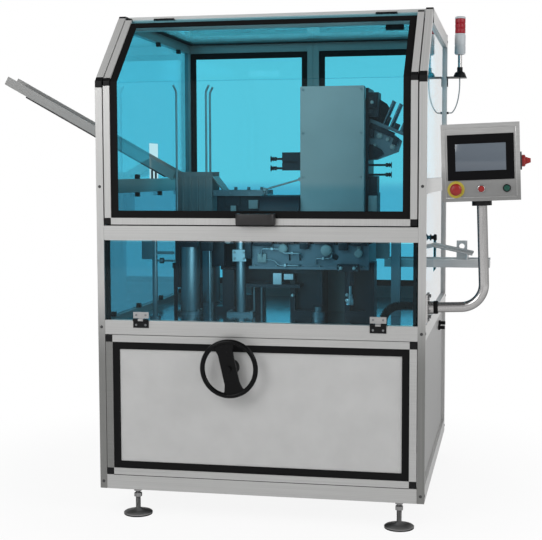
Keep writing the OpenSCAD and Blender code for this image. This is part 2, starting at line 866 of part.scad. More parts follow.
// Pillars between the tables, the sensor rod, the outfeed post and the bright pieces of the drive
module pillars() {
  h = upper_table_z - table_top_z;
  front_y = upper_table_y + 60;
  rear_y = upper_table_y + 440;
  slim_x = pillar_x + 236;
  sensor_x = pillar_x - 98;
  post_x = bed_end + 88;
  color(SILVER) place() {
    pillar(pillar_x, front_y);
    pillar(pillar_x, rear_y);
    pillar(frame_w - 350, rear_y);
    translate([slim_x, front_y, table_top_z]) {
      cylinder(h = h, r = 22);
      translate([-60, -30, 0]) cube([120, 60, 14]);
      translate([-32, -30, 242]) cube([62, 60, 52]);
    }
    translate([pillar_x + 91, front_y, table_top_z]) cylinder(h = h, r = 7);
    translate([sensor_x, 300, table_top_z]) {
      cylinder(h = 14, r = 24);
      cylinder(h = h + 40, r = 11);
      translate([-55, -12, 262]) cube([50, 24, 78]);
      translate([0, -6, 284]) cube([87, 12, 12]);
      translate([0, 0, 256]) rotate([0, 90, 0]) cylinder(h = 95, r = 4);
      translate([24, 0, 256]) rotate([0, 90, 0]) cylinder(h = 16, r = 12);
    }
    translate([post_x, tray_y - 42, table_top_z]) cube([40, 42, h]);
    span([bed_x + 95, bed_y, bar_z + bar_t], [bed_x + 133, column_y, bar_z + bar_t + 50]);
    span([bed_x + 144, bed_y, bar_z + 37], [bed_x + 186, column_y, bar_z + 62]);
    for (x = [-5, 30])
      translate([bed_x + x, column_y + 22, table_top_z]) cylinder(h = bar_z - table_top_z, r = 5);
    translate([columns[0][0] + 133, bed_y, table_top_z]) {
      cylinder(h = 22, r = 30);
      cylinder(h = 45, r = 18);
    }
  }
}

// Cast bed of the carton drive: a foot flange, and a front face with two slots and a bore
module machine_bed() {
  slot_h = 34;
  mid_z = bed_z + bed_h / 2;
  color(GREY) place() difference() {
    union() {
      span([bed_x, bed_y, bed_z], [bed_end, bed_y + bed_d, bed_z + bed_h]);
      span(
        [bed_x - bed_flange, bed_y - bed_flange, bed_z],
        [bed_end, bed_y + bed_d + bed_flange, bed_z + bed_flange]
      );
    }
    for (x = [0.32, 0.41])
      span(
        [bed_x + x * bed_w, bed_y - 1, mid_z - slot_h / 2],
        [bed_x + x * bed_w + 10, bed_y + 20, mid_z + slot_h / 2]
      );
    translate([bed_x + 0.72 * bed_w, bed_y - 1, mid_z]) rotate([-90, 0, 0]) cylinder(h = 30, r = 14);
  }
}

// Dark pieces under the bed: columns with recessed fronts, a guide plate, the block up to the
// upper table, a gear upright, a cross bar, two pipes and a valve with its cylinder
module bed_supports() {
  rim = 22;
  guide_t = 20;
  gear_x = bed_x - 151;
  valve_x = bed_x + 387;
  valve_y = bed_y - bed_flange;
  valve_z = bed_z - 6;
  color(DARK) place() {
    for (c = columns) translate([c[0], 0, 0]) difference() {
      span([0, column_y, table_top_z], [c[1], bed_y + bed_d - 40, bed_z]);
      span([rim, column_y - 1, table_top_z + rim], [c[1] - rim, column_y + 40, bed_z - rim]);
    }
    span([bed_end, column_y, table_top_z], [bed_end + guide_t, column_y + 100, bed_z + 29]);
    span([bed_x + 55, bed_y + 60, bed_z + bed_h], [bed_end - 66, bed_y + bed_d - 60, upper_table_z]);
    span([gear_x, column_y + 20, table_top_z], [gear_x + 54, column_y + 80, bed_z - 10]);
    span([gear_x - 32, column_y + 16, table_top_z], [gear_x + 60, column_y + 84, table_top_z + 32]);
    span([bed_x - 27, bed_y, bar_z], [columns[0][0] + 51, bed_y + 75, bar_z + bar_t]);
    translate([pillar_x - 74, column_y, table_top_z]) {
      cylinder(h = 229, r = 9);
      translate([0, 0, 205]) cylinder(h = 24, r = 14);
    }
    translate([pillar_x + 28, bed_y + 100, table_top_z]) cylinder(h = upper_table_z - table_top_z, r = 9);
    span([valve_x, valve_y - 32, valve_z], [valve_x + 95, valve_y, valve_z + 32]);
    translate([valve_x + 57, valve_y - 16, valve_z - 62]) cylinder(h = 63, r = 16);
  }
}

// Product magazine at the chute's lower end: an open box with ribs and a sloping exit plate
module product_magazine() {
  floor_z = upper_top + 30;
  exit_top = mag_top - 19;
  low_wall = mag_top - chute_h * chute_cos - 4;
  exit_run = 50;
  rib = 10;
  y0 = mag_y0 + mag_wall;
  y1 = mag_y1 - mag_wall;
  color(GREY) place() {
    difference() {
      span([mag_x0, mag_y0, upper_top], [mag_x1, mag_y1, mag_top]);
      span([mag_x0 + mag_wall, y0, floor_z], [mag_x1 - mag_wall, y1, mag_top + 1]);
      span([mag_x0 - 1, y0, low_wall], [mag_x0 + mag_wall + 1, y1, mag_top + 1]);
      span([mag_x1 - mag_wall - 1, y0, exit_top], [mag_x1 + 1, y1, mag_top + 1]);
    }
    for (i = [1:4])
      span(
        [mag_x0 + i * mag_w / 5 - rib / 2, mag_y0 - 6, upper_top],
        [mag_x0 + i * mag_w / 5 + rib / 2, mag_y0, mag_top - 20]
      );
    back(y0, y1 - y0) polygon([
      [mag_x1 - 1, exit_top],
      [mag_x1 - 1, exit_top - 8],
      [mag_x1 + exit_run - 6, conveyor_z + conveyor_h],
      [mag_x1 + exit_run, conveyor_z + conveyor_h]
    ]);
  }
}

// A round guide rod from z up to its bend, with its top leaning to the right
module guide_rod(z) {
  r = rod_d / 2;
  turn = 4 * rod_d;
  translate([0, 0, z]) cylinder(h = rod_top_z - z, r = r);
  translate([turn, 0, rod_top_z]) rotate([90, 0, 0]) rotate_extrude(angle = rod_bend, start = 180 - rod_bend)
    translate([turn, 0]) circle(r = r);
  translate([turn - turn * cos(rod_bend), 0, rod_top_z + turn * sin(rod_bend)]) rotate([0, rod_bend, 0])
    cylinder(h = rod_bend_l, r = r);
}

// Guide rods of the magazine: one stands on the table, two on the magazine's walls
module magazine_rods() {
  color(STEEL) place() {
    translate([mag_x0 + 12, mag_y0 - 6 - rod_d, 0]) mirror([1, 0, 0]) guide_rod(upper_top);
    translate([mag_x1 - 28, mag_y0 + mag_wall / 2, 0]) guide_rod(mag_top);
    translate([mag_x1 - 43, mag_y1 - mag_wall / 2, 0]) guide_rod(mag_top);
  }
}

// Infeed conveyor: two rails, the belt's bed between them, pushers and two stands
module infeed_conveyor() {
  bed_t = 15;
  pusher_pitch = 62;
  color(STEEL) place() {
    for (y = [chute_y, chute_y + chute_w - rail_w])
      span([mag_x1, y, conveyor_z], [conveyor_end, y + rail_w, conveyor_z + conveyor_h]);
    span(
      [mag_x1, chute_y + rail_w, conveyor_z],
      [conveyor_end, chute_y + chute_w - rail_w, conveyor_z + bed_t]
    );
    for (i = [0:2])
      span(
        [mag_x1 + 92 + i * pusher_pitch, chute_y + 42, conveyor_z + bed_t],
        [mag_x1 + 100 + i * pusher_pitch, chute_y + chute_w - 42, conveyor_z + conveyor_h + 14]
      );
    for (x = [mag_x1 + 24, conveyor_end - 37])
      span([x, chute_y + 30, upper_top], [x + 30, chute_y + chute_w - 30, conveyor_z]);
  }
}

// Round-topped cover over the infeed motor, and the drive box that hangs under the conveyor
module motor_cover() {
  w = 120;
  y = cover_y + 30;
  top = upper_top + 131;
  color(DARK) place() {
    across(cover_x - 180, 178) {
      translate([y - w / 2, upper_top]) square([w, top - upper_top - w / 2]);
      translate([y, top - w / 2]) circle(r = w / 2);
    }
    span(
      [mag_x1 + 56, chute_y + rail_w, conveyor_z - 47],
      [mag_x1 + 125, chute_y + chute_w - rail_w, conveyor_z]
    );
  }
}

module feeder_cover() {
  color(GREY) place() span([cover_x, cover_y, upper_top], [feeder_x, feeder_y, cover_top_z]);
}

// A suction cup with one fold on a stem, l long along +Z
module suction_cup(l) {
  r = cup_d / 2;
  rotate_extrude() polygon([
    [0, 0], [5, 0], [5, l - 26], [9, l - 26], [9, l - 16], [6, l - 14],
    [r * 0.75, l - 10], [6, l - 6], [r, l], [0, l]
  ]);
}

// Suction block on the cover's left and cups on the feeder's side plate
module suction_heads() {
  block_w = 84;
  block_h = 81;
  block_z = upper_top + 240;
  left_l = 55;
  right_l = 101;
  color(DARK) place() {
    difference() {
      span([cover_x - block_w, cover_y + 10, block_z], [cover_x, feeder_y, block_z + block_h]);
      span([cover_x - block_w - 1, cover_y + 9, block_z + 34], [cover_x - 20, cover_y + 18, block_z + 40]);
    }
    for (z = [10, 52])
      translate([cover_x - block_w, cover_y + 30, block_z + z]) rotate([0, -90, 0]) suction_cup(left_l);
    for (z = [-20, 23])
      translate([feeder_face, feeder_y + 30, block_z + z]) rotate([0, 90, 0]) suction_cup(right_l);
  }
}

// Carton feeder behind the cover: a housing, a side plate, a head block and a valve box
module carton_feeder() {
  y1 = feeder_y + 110;
  color(DARK) place() {
    span([cover_x + 55, feeder_y, upper_top], [feeder_x, feeder_y + 200, cover_top_z - 57]);
    span([feeder_x, feeder_y, upper_top], [feeder_face, feeder_y + 210, cover_top_z - 7]);
    span([feeder_face, feeder_y, cover_top_z - 137], [feeder_face + 44, y1, cover_top_z - 27]);
    span([feeder_face, feeder_y, upper_top], [feeder_face + 42, y1, upper_top + 140]);
    span([feeder_face, feeder_y + 6, upper_top + 140], [feeder_face + 40, y1 - 20, upper_top + 214]);
  }
}

// Leaning carton magazine on the side plate: a bracket, a base plate and three pairs of rods
module carton_magazine() {
  y0 = feeder_y + 40;
  d = 110;
  base_t = 14;
  base_x = feeder_face + 62;
  base_z = cover_top_z - 166;
  rod_r = 5;
  color(STEEL) place() {
    intersection() {
      translate([base_x, y0, base_z]) rotate([0, carton_lean, 0])
        translate([-90, 0, -base_t]) cube([190, d, base_t]);
      span([feeder_face, y0, base_z - 200], [feeder_face + 400, y0 + d, base_z + 200]);
    }
    for (x = [0, 34, 83], y = [y0 + 12, y0 + d - 12])
      translate([base_x, y, base_z]) rotate([0, carton_lean, 0]) translate([x, 0, -1])
        cylinder(h = carton_rod_l + 1, r = rod_r);
    back(y0, 30) translate([feeder_face, base_z]) polygon([
      [0, 14], [75, -19], [145, -76], [129, -125], [33, -160], [0, -160]
    ]);
  }
}

// Flexible conduit from the table up and out to the arm, and two glands on the right sheet
module conduit() {
  r = 12;
  bend = 70;
  x0 = frame_w - 173;
  z1 = arm_z + 5;
  sheet_face = frame_w - (post_w - sheet_t) / 2;
  gland_l = 32;
  color(BLACK) place() {
    translate([x0, arm_y, 0]) {
      translate([0, 0, table_top_z]) cylinder(h = z1 - bend - table_top_z, r = r);
      translate([bend, 0, z1 - bend]) rotate([90, 0, 0]) rotate_extrude(angle = 90, start = 90)
        translate([bend, 0]) circle(r = r);
      translate([bend, 0, z1]) rotate([0, 90, 0])
        cylinder(h = frame_w - (post_w + glass_t) / 2 - x0 - bend, r = r);
    }
    for (g = [[-328, -56], [-365, -74]])
      translate([sheet_face, frame_d + g[0], table_beam_z + g[1]]) rotate([0, 90, 0]) {
        cylinder(h = gland_l, r = 8);
        cylinder(h = 10, r = 12, $fn = 6);
      }
  }
}

// Door switch under the top front beam
module door_switch() {
  w = 74;
  h = 22;
  x0 = frame_w - 200;
  color(BLACK) place() {
    span([x0, top_beam_y + 2, top_beam_z - h], [x0 + w, top_beam_y + post_w - 2, top_beam_z]);
    span([x0 + 8, top_beam_y - 4, top_beam_z - h + 5], [x0 + 26, top_beam_y + 2, top_beam_z - 5]);
  }
}

// Upper door: silver stiles, bottom rail, and a top rail behind the clear sheet
module door_frame() {
  color(SILVER) place() {
    both_sides() {
      span(
        [door_x0, 0, door_z0 + door_frame_w],
        [door_x0 + door_frame_w, door_frame_t, knee_h - door_knee]
      );
      across(door_x0, door_frame_w) slope_bar(door_knee, door_end - top_block, 0, door_frame_t);
    }
    span(
      [door_x0 + door_frame_w, 0, door_z0],
      [door_x1 - door_frame_w, door_frame_t, door_z0 + door_frame_w]
    );
    across(door_x0 + door_frame_w, door_x1 - door_x0 - 2 * door_frame_w)
      slope_bar(door_rail_end, door_end, glass_y + glass_t + running, door_frame_t);
  }
}

// Black corner and knee blocks of the door, and the caps on its stiles
module door_blocks() {
  color(BLACK) place() {
    both_sides() {
      span([door_x0, 0, door_z0], [door_x0 + door_frame_w, door_frame_t, door_z0 + door_frame_w]);
      across(door_x0, door_frame_w) knee_outline(door_knee, door_frame_t);
      across(door_x0, door_frame_w) slope_bar(door_end - top_block, door_end, 0, door_frame_t);
    }
  }
}

// Clear sheets of the door: an upright one and a sloped one that meet at the knee
module door_glass() {
  w0 = door_x0 + door_frame_w;
  w1 = door_x1 - door_frame_w;
  back_t = glass_y + glass_t;
  lap = 1;
  color(CYAN) place() {
    across(w0, w1 - w0) polygon([
      [glass_y, door_z0 + door_frame_w],
      [glass_y, bend_z(glass_y) - lap],
      [back_t, bend_z(back_t) - lap],
      [back_t, door_z0 + door_frame_w]
    ]);
    across(w0, w1 - w0) polygon([
      [glass_y, bend_z(glass_y)],
      slope_at(door_end, glass_y),
      slope_at(door_end, back_t),
      [back_t, bend_z(back_t)]
    ]);
  }
}

// Black rubber band round the door's clear sheets
module door_band() {
  w0 = door_x0 + door_frame_w;
  w1 = door_x1 - door_frame_w;
  front_t = glass_y - band_t;
  back_t = glass_y - running;
  z0 = door_z0 + door_frame_w;
  color(BLACK) place() {
    both_sides() across(w0, band_w) polygon([
      [front_t, z0],
      [front_t, bend_z(front_t)],
      slope_at(door_rail_end, front_t),
      slope_at(door_rail_end, back_t),
      [back_t, bend_z(back_t)],
      [back_t, z0]
    ]);
    span([w0, front_t, z0], [w1, back_t, z0 + band_w]);
    across(w0, w1 - w0) slope_bar(door_rail_end - band_w, door_rail_end, front_t, back_t);
  }
}

// Black bridge handle on the door's bottom rail: two feet and a broad curved grip
module door_handle() {
  foot_w = 24;
  grip_t = 10;
  bevel = 14;
  color(BLACK) place() translate([handle_x - handle_l / 2, 0, door_z0 + 1]) linear_extrude(handle_h) polygon([
    [0, 0], [0, -handle_out + bevel], [bevel, -handle_out],
    [handle_l - bevel, -handle_out], [handle_l, -handle_out + bevel], [handle_l, 0],
    [handle_l - foot_w, 0], [handle_l - foot_w, -handle_out + grip_t],
    [foot_w, -handle_out + grip_t], [foot_w, 0]
  ]);
}

// Moving halves of the top hinges, on the door's top rail
module door_hinges() {
  third = door_hinge_l / 3;
  color(BLACK) place() both_sides() translate([door_hinge_in + third, 0, 0]) difference() {
    union() {
      knuckle(0, door_axis_y, door_axis_z, third - seat_gap, door_knuckle_r);
      across(0, third - seat_gap) polygon([
        slope_at(door_end, glass_y + glass_t + 1),
        slope_at(door_end, door_frame_t),
        [door_axis_y, door_axis_z - door_knuckle_r + 1],
        [door_axis_y, door_axis_z],
        [door_axis_y - door_knuckle_r + 1, door_axis_z + 2]
      ]);
    }
    knuckle(-1, door_axis_y, door_axis_z, third + 2, door_pin_r + running);
  }
}

// Clear flap of the lower window
module flap_glass() {
  color(CYAN) place() span([door_x0, flap_y, flap_z0], [door_x1, flap_y + glass_t, flap_z1]);
}

// Moving halves of the flap hinges, on the flap's front
module flap_hinges() {
  third = flap_hinge_l / 3;
  color(SILVER) place() both_sides() translate([flap_hinge_x - flap_hinge_l / 2, 0, 0]) difference() {
    union() {
      span([0, flap_y - flap_leaf_t, flap_z0 + 4], [flap_hinge_l, flap_y, flap_z0 + 4 + flap_leaf_h]);
      span([third, flap_y - flap_leaf_t, flap_axis_z], [2 * third - seat_gap, flap_y, flap_z0 + 5]);
      knuckle(third, flap_axis_y, flap_axis_z, third - seat_gap, flap_knuckle_r);
    }
    knuckle(third - 1, flap_axis_y, flap_axis_z, third + 2, flap_pin_r + running);
  }
}

// Handwheel: a round rim, one wide flat web that flares into it and a hub on its shaft
module handwheel() {
  rim_r = (wheel_d - wheel_rim_d) / 2;
  w = wheel_web_w / 2;
  flare = 1.55 * w;
  tip = sqrt(rim_r * rim_r - flare * flare);
  color(BLACK) place() translate([wheel_x, -wheel_out, wheel_z]) rotate([90, -wheel_turn, 0]) {
    rotate_extrude() translate([rim_r, 0]) circle(r = wheel_rim_d / 2);
    translate([0, 0, -5]) linear_extrude(10) polygon([
      [w, -0.55 * rim_r], [w, 0.55 * rim_r], [1.2 * w, 0.77 * rim_r], [flare, tip], [0, rim_r],
      [-flare, tip], [-1.2 * w, 0.77 * rim_r], [-w, 0.55 * rim_r], [-w, -0.55 * rim_r],
      [-1.2 * w, -0.77 * rim_r], [-flare, -tip], [0, -rim_r], [flare, -tip], [1.2 * w, -0.77 * rim_r]
    ]);
    translate([0, 0, -24]) cylinder(h = 24, r = 26);
    cylinder(h = wheel_nose, r = 11);
    translate([0, 0, -wheel_out - 60]) cylinder(h = wheel_out + 60, r = wheel_shaft_r);
  }
}

// Stainless operator box with a raised rim round its face
module panel_box() {
  color(STEEL) place() on_box() difference() {
    translate([-box_w / 2, box_y0, 0]) cube([box_w, box_d, box_h]);
    translate([-box_w / 2 + box_rim_w, box_y0 - 1, box_rim_w])
      cube([box_w - 2 * box_rim_w, box_rim_t + 1, box_h - 2 * box_rim_w]);
    translate([0, 0, -1]) cylinder(h = spigot_l + 2, r = spigot_r + running);
    for (i = [-1:1])
      translate([i * button_pitch, box_y0, button_z]) rotate([-90, 0, 0])
        cylinder(h = box_rim_t + stem_l + 10, r = stem_r + running);
    translate([box_w / 2 + 1, 0, box_h / 2]) rotate([0, -90, 0]) cylinder(h = 20, r = 8 + running);
  }
}

// Black display with its screen set in
module panel_display() {
  face = box_y0 + box_rim_t;
  color(BLACK) place() on_box() difference() {
    translate([-bezel_w / 2, face - 6, bezel_z]) cube([bezel_w, 6, bezel_h]);
    translate([-screen_w / 2, face - 7, bezel_z + (bezel_h - screen_h) / 2]) cube([screen_w, 2, screen_h]);
  }
}

// Yellow plate behind the mushroom head
module stop_plate() {
  color([0.85, 0.75, 0.15]) place() on_box()
    translate([-button_pitch, box_y0 + box_rim_t, button_z]) rotate([90, 0, 0]) difference() {
      cylinder(h = 3, r = stop_plate_d / 2);
      translate([0, 0, -1]) cylinder(h = 5, r = stem_r + 3);
    }
}

// Black collars that the two small buttons slide in
module button_bezels() {
  color(BLACK) place() on_box()
    for (i = [0, 1])
      translate([i * button_pitch, box_y0 + box_rim_t, button_z]) rotate([90, 0, 0]) difference() {
        cylinder(h = bezel_t, r = button_d / 2);
        translate([0, 0, -1]) cylinder(h = bezel_t + 2, r = button_d / 2 - 3);
      }
}

module isolator_plate() {
  color(DARK) place() on_box() difference() {
    translate([box_w / 2, -isolator_w / 2, (box_h - isolator_w) / 2])
      cube([isolator_t, isolator_w, isolator_w]);
    translate([box_w / 2 - 1, 0, box_h / 2]) rotate([0, 90, 0]) cylinder(h = isolator_t + 2, r = 8 + running);
  }
}

// Red rotary isolator knob
module isolator_knob() {
  color([0.7, 0.1, 0.1]) place() on_box()
    translate([box_w / 2 + isolator_t + seat_gap, 0, box_h / 2]) rotate([0, 90, 0]) {
      translate([0, 0, -18]) cylinder(h = 20, r = 8);
      cylinder(h = 12, r = knob_d / 2);
      translate([-knob_d / 2, -7, 0]) cube([knob_d, 14, knob_l - seat_gap]);
    }
}

// A push button: a head that starts stand in front of the box, on a stem that slides in it
module push_button(i, head_d, head_t, stand) {
  place() on_box() translate([i * button_pitch, box_y0 + box_rim_t, button_z]) rotate([90, 0, 0]) {
    translate([0, 0, -stem_l]) cylinder(h = stem_l + stand + 1, r = stem_r);
    translate([0, 0, stand]) cylinder(h = head_t, r = head_d / 2);
  }
}

module mushroom_button() {
  color([0.75, 0.1, 0.1]) push_button(-1, mushroom_d, 16, 14);
}

module stop_button() {
  color([0.75, 0.1, 0.1]) push_button(0, button_d - 6 - 2 * seat_gap, 8, button_travel + 1);
}

module start_button() {
  color([0.05, 0.35, 0.3]) push_button(1, button_d - 6 - 2 * seat_gap, 8, button_travel + 1);
}

front_posts();
sloped_posts();
rear_posts();
front_beams();
side_beams();
rear_beams();
corner_blocks();
levelling_feet();
table_plate();
base_panels();
base_front_frame();
panel_bands();
side_panels();
rear_panels();
roof_panel();
panel_clips();
flap_seals();
hinge_bases();
wheel_bearing();
panel_arm();
arm_collar();
tower_base();
tower_body();
tower_lens();
tower_cable();
infeed_chute();
chute_strip();
outfeed_tray();
upper_table();
pillars();
machine_bed();
bed_supports();
product_magazine();
magazine_rods();
infeed_conveyor();
motor_cover();
feeder_cover();
suction_heads();
carton_feeder();
carton_magazine();
conduit();
door_switch();
door_frame();
door_blocks();
door_glass();
door_band();
door_handle();
door_hinges();
flap_glass();
flap_hinges();
handwheel();
panel_box();
panel_display();
stop_plate();
button_bezels();
isolator_plate();
isolator_knob();
mushroom_button();
stop_button();
start_button();
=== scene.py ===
from math import cos, pi, radians, sin

import bmesh
import bpy
from mathutils import Matrix, Vector


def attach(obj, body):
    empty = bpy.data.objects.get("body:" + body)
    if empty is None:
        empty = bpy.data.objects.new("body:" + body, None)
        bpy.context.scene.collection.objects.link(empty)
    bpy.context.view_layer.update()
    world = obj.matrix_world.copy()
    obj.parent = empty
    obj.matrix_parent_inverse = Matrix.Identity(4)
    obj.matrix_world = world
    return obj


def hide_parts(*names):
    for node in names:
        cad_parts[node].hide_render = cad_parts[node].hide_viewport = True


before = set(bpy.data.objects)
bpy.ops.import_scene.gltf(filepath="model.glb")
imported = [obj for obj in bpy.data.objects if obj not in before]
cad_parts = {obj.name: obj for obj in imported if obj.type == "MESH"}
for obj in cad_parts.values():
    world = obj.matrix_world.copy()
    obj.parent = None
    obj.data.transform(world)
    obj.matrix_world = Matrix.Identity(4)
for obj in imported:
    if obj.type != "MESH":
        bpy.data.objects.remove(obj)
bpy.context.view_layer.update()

yaw, pitch, roll = radians(-11.5), radians(-4.618), radians(-0.178)
forward = Vector((sin(yaw) * cos(pitch), cos(yaw) * cos(pitch), sin(pitch)))
level = Vector((cos(yaw), -sin(yaw), 0))
rise = level.cross(forward)
right = cos(roll) * level + sin(roll) * rise
upward = cos(roll) * rise - sin(roll) * level
camera = bpy.data.objects.new("camera", bpy.data.cameras.new("camera"))
camera.data.lens = 79.41
camera.data.sensor_width = 36
camera.data.sensor_fit = "HORIZONTAL"
camera.matrix_world = (
    Matrix.Translation((1.1637, -5.3746, 1.417))
    @ Matrix((right, upward, -forward)).transposed().to_4x4()
)
bpy.context.scene.collection.objects.link(camera)
bpy.context.scene.camera = camera
bpy.context.scene.view_settings.view_transform = "Standard"


# Studio floor, backdrop and lamps
# A pale floor disc that fades into a white surround, with wide soft lamps in front, at the side
# and behind, and small ones under the roof and the table for the light that the guards let in.
class Signal:
    """One socket of a finish's nodes, so that shader maths reads as plain expressions."""

    def __init__(self, tree, socket):
        self.tree, self.socket = tree, socket

    def add(self, kind, settings, inputs, out=0):
        """A new node: its settings first, then the values or links of its sockets."""
        node = self.tree.nodes.new(kind)
        for name, value in settings.items():
            setattr(node, name, value)
        for key, value in inputs.items():
            if isinstance(value, Signal):
                self.tree.links.new(value.socket, node.inputs[key])
            else:
                node.inputs[key].default_value = value
        return Signal(self.tree, node.outputs[out])

    def maths(self, operation, *values):
        return self.add("ShaderNodeMath", {"operation": operation}, dict(enumerate(values)))

    def __add__(self, other):
        return self.maths("ADD", self, other)

    def __sub__(self, other):
        return self.maths("SUBTRACT", self, other)

    def __rsub__(self, other):
        return self.maths("SUBTRACT", other, self)

    def __mul__(self, other):
        return self.maths("MULTIPLY", self, other)

    __radd__, __rmul__ = __add__, __mul__

    def blend(self, first, second):
        """A colour between two colours, by this value."""
        low, high = (c if isinstance(c, Signal) else (*c, 1) for c in (first, second))
        return self.add("ShaderNodeMix", {"data_type": "RGBA"}, {0: self, 6: low, 7: high}, 2)

    def stretch(self, scale, turn=(0, 0, 0)):
        """These coordinates turned, and then scaled by axis."""
        turned = self.add("ShaderNodeMapping", {}, {"Vector": self, "Rotation": turn})
        return self.add("ShaderNodeMapping", {}, {"Vector": turned, "Scale": scale})

    def noise(self, scale, detail=2.0):
        inputs = {"Vector": self, "Scale": scale, "Detail": detail}
        return self.add("ShaderNodeTexNoise", {}, inputs)

    def ramp(self, low, high):
        """This value spread smoothly from 0 at low to 1 at high."""
        smooth = {"interpolation_type": "SMOOTHSTEP"}
        return self.add("ShaderNodeMapRange", smooth, {0: self, 1: low, 2: high})

    def axis(self, index):
        return self.add("ShaderNodeSeparateXYZ", {}, {0: self}, index)

    def feed(self, socket):
        self.tree.links.new(self.socket, socket)


def open_tree(owner):
    """The empty node tree of a material or a world, and its output's surface socket."""
    owner.use_nodes = True
    tree = owner.node_tree
    tree.nodes.clear()
    target = "World" if isinstance(owner, bpy.types.World) else "Material"
    return tree, tree.nodes.new("ShaderNodeOutput" + target).inputs["Surface"]


def coordinates(tree, kind="Object"):
    """The place of the point that is shaded."""
    return Signal(tree, tree.nodes.new("ShaderNodeTexCoord").outputs[kind])


def rays(tree):
    """Signals that are 1 for the view's own rays, for mirror images and for looks through glass."""
    path = tree.nodes.new("ShaderNodeLightPath")
    kinds = ("Is Camera Ray", "Is Glossy Ray", "Is Transmission Ray")
    return [Signal(tree, path.outputs[kind]) for kind in kinds]


floor_finish = bpy.data.materials.new("studio_floor")
tree, surface = open_tree(floor_finish)
place = coordinates(tree)
reach = place.add("ShaderNodeVectorMath", {"operation": "LENGTH"}, {0: place}, 1)
direct, mirrored, through = rays(tree)
seen = direct.maths("MAXIMUM", direct, mirrored + through)
white_share = seen * (0.90 + 0.10 * reach.ramp(0.9, 2.0))
lit = place.add("ShaderNodeBsdfDiffuse", {}, {"Color": (0.93, 0.93, 0.93, 1)})
mirrored_floor = 1 - 0.35 * mirrored * (1 - reach.ramp(3.0, 7.0))
glow = mirrored_floor.blend((0, 0, 0), (1, 1, 1))
white = place.add("ShaderNodeEmission", {}, {"Color": glow, "Strength": 1.0})
place.add("ShaderNodeMixShader", {}, {0: white_share, 1: lit, 2: white}).feed(surface)
mesh = bmesh.new()
bmesh.ops.create_circle(mesh, cap_ends=True, segments=96, radius=14)
floor_data = bpy.data.meshes.new("studio_floor")
mesh.to_mesh(floor_data)
mesh.free()
floor_data.materials.append(floor_finish)
studio_floor = bpy.data.objects.new("studio_floor", floor_data)
bpy.context.scene.collection.objects.link(studio_floor)

surround = bpy.data.worlds.new("surround")
bpy.context.scene.world = surround
tree, surface = open_tree(surround)
direction = coordinates(tree, "Generated")
direct, mirrored, through = rays(tree)
overhead = direction.axis(2).ramp(0.35, 0.80)
mirror_level = (0.50 + 0.50 * direction.axis(1).ramp(0.25, 0.65)) * (1 - 0.85 * overhead)
unseen_level = 0.40
seen = direct.maths("MAXIMUM", direct, through)
level_of_light = unseen_level + 0.60 * seen + mirrored * (mirror_level - unseen_level)
white_light = {"Color": (1, 1, 1, 1), "Strength": level_of_light}
direct.add("ShaderNodeBackground", {}, white_light).feed(surface)


def lamp(name, place, target, size, watts, mirrored=True):
    """A square soft lamp that shines from its place to a target, and shows in mirrors at most."""
    light = bpy.data.lights.new(name, "AREA")
    light.size, light.energy = size, watts
    obj = bpy.data.objects.new(name, light)
    aim = (Vector(target) - Vector(place)).to_track_quat("-Z", "Y")
    obj.matrix_world = Matrix.Translation(place) @ aim.to_matrix().to_4x4()
    obj.visible_camera, obj.visible_glossy = False, mirrored
    bpy.context.scene.collection.objects.link(obj)


lamp("front_lamp", (-2.2, -4.6, 3.6), (0, 0, 1.1), 2.6, 85)
lamp("side_lamp", (4.2, -2.0, 3.2), (0.3, 0, 1.1), 2.4, 62)
lamp("back_lamp", (-0.5, 4.4, 3.4), (0, 0, 1.2), 2.6, 50)
lamp("upper_room_lamp", (0.15, -0.46, 1.80), (0.2, 0.0, 1.4), 0.8, 2.6, False)
lamp("lower_room_lamp", (0.05, -0.55, 1.1), (0.1, 0.1, 0.9), 0.4, 1.3)


# Tower light's cable
# A thin grey sheathed cable. It leaves the foot of the tower light, hangs in a slack curve and
# goes into the gland on the rear post.
WIDTH, DEPTH = 1350, 1400
TO_ROW = Matrix.Translation((-0.5219004, -0.6905, 0.105)) @ Matrix.Scale(0.001, 4)


def at(x, y, z):
    """A point given in millimetres from the frame's left, front and underside."""
    return TO_ROW @ Vector((x, y, z))


def principled(name, fixed):
    """A new finish: the material, its shader with the fixed sockets set, and its coordinates."""
    material = bpy.data.materials.new(name)
    tree, surface = open_tree(material)
    shader = tree.nodes.new("ShaderNodeBsdfPrincipled")
    for socket, value in fixed.items():
        shader.inputs[socket].default_value = value
    tree.links.new(shader.outputs[0], surface)
    return material, shader, coordinates(tree)


def bump(shader, height, strength, distance):
    """Gives a finish a fine relief, with its depth in metres."""
    relief = {"Strength": strength, "Distance": distance, "Height": height}
    height.add("ShaderNodeBump", {}, relief).feed(shader.inputs["Normal"])


def shade(colour, share):
    """A colour at a share of its brightness."""
    return tuple(share * c for c in colour)


def plastic(name, colour, roughness, grain=1400, depth=0.15, gloss=0.45, painted_shade=None):
    """Moulded plastic or paint, finely grained and uneven in colour, with painted shade where the
    mask gives 1.
    """
    material, shader, place = principled(name, {"Specular IOR Level": gloss})
    cloud = place.noise(9, 3)
    grains = place.noise(grain, 2)
    paint = cloud.blend(shade(colour, 0.82), colour)
    # Painted shade: the colour darkens to half where the mask gives 1.
    if painted_shade:
        paint = painted_shade(place).blend(paint, shade(colour, 0.5))
    paint.feed(shader.inputs["Base Color"])
    (roughness - 0.06 + 0.12 * grains).feed(shader.inputs["Roughness"])
    bump(shader, grains, depth, 0.0004)
    return material


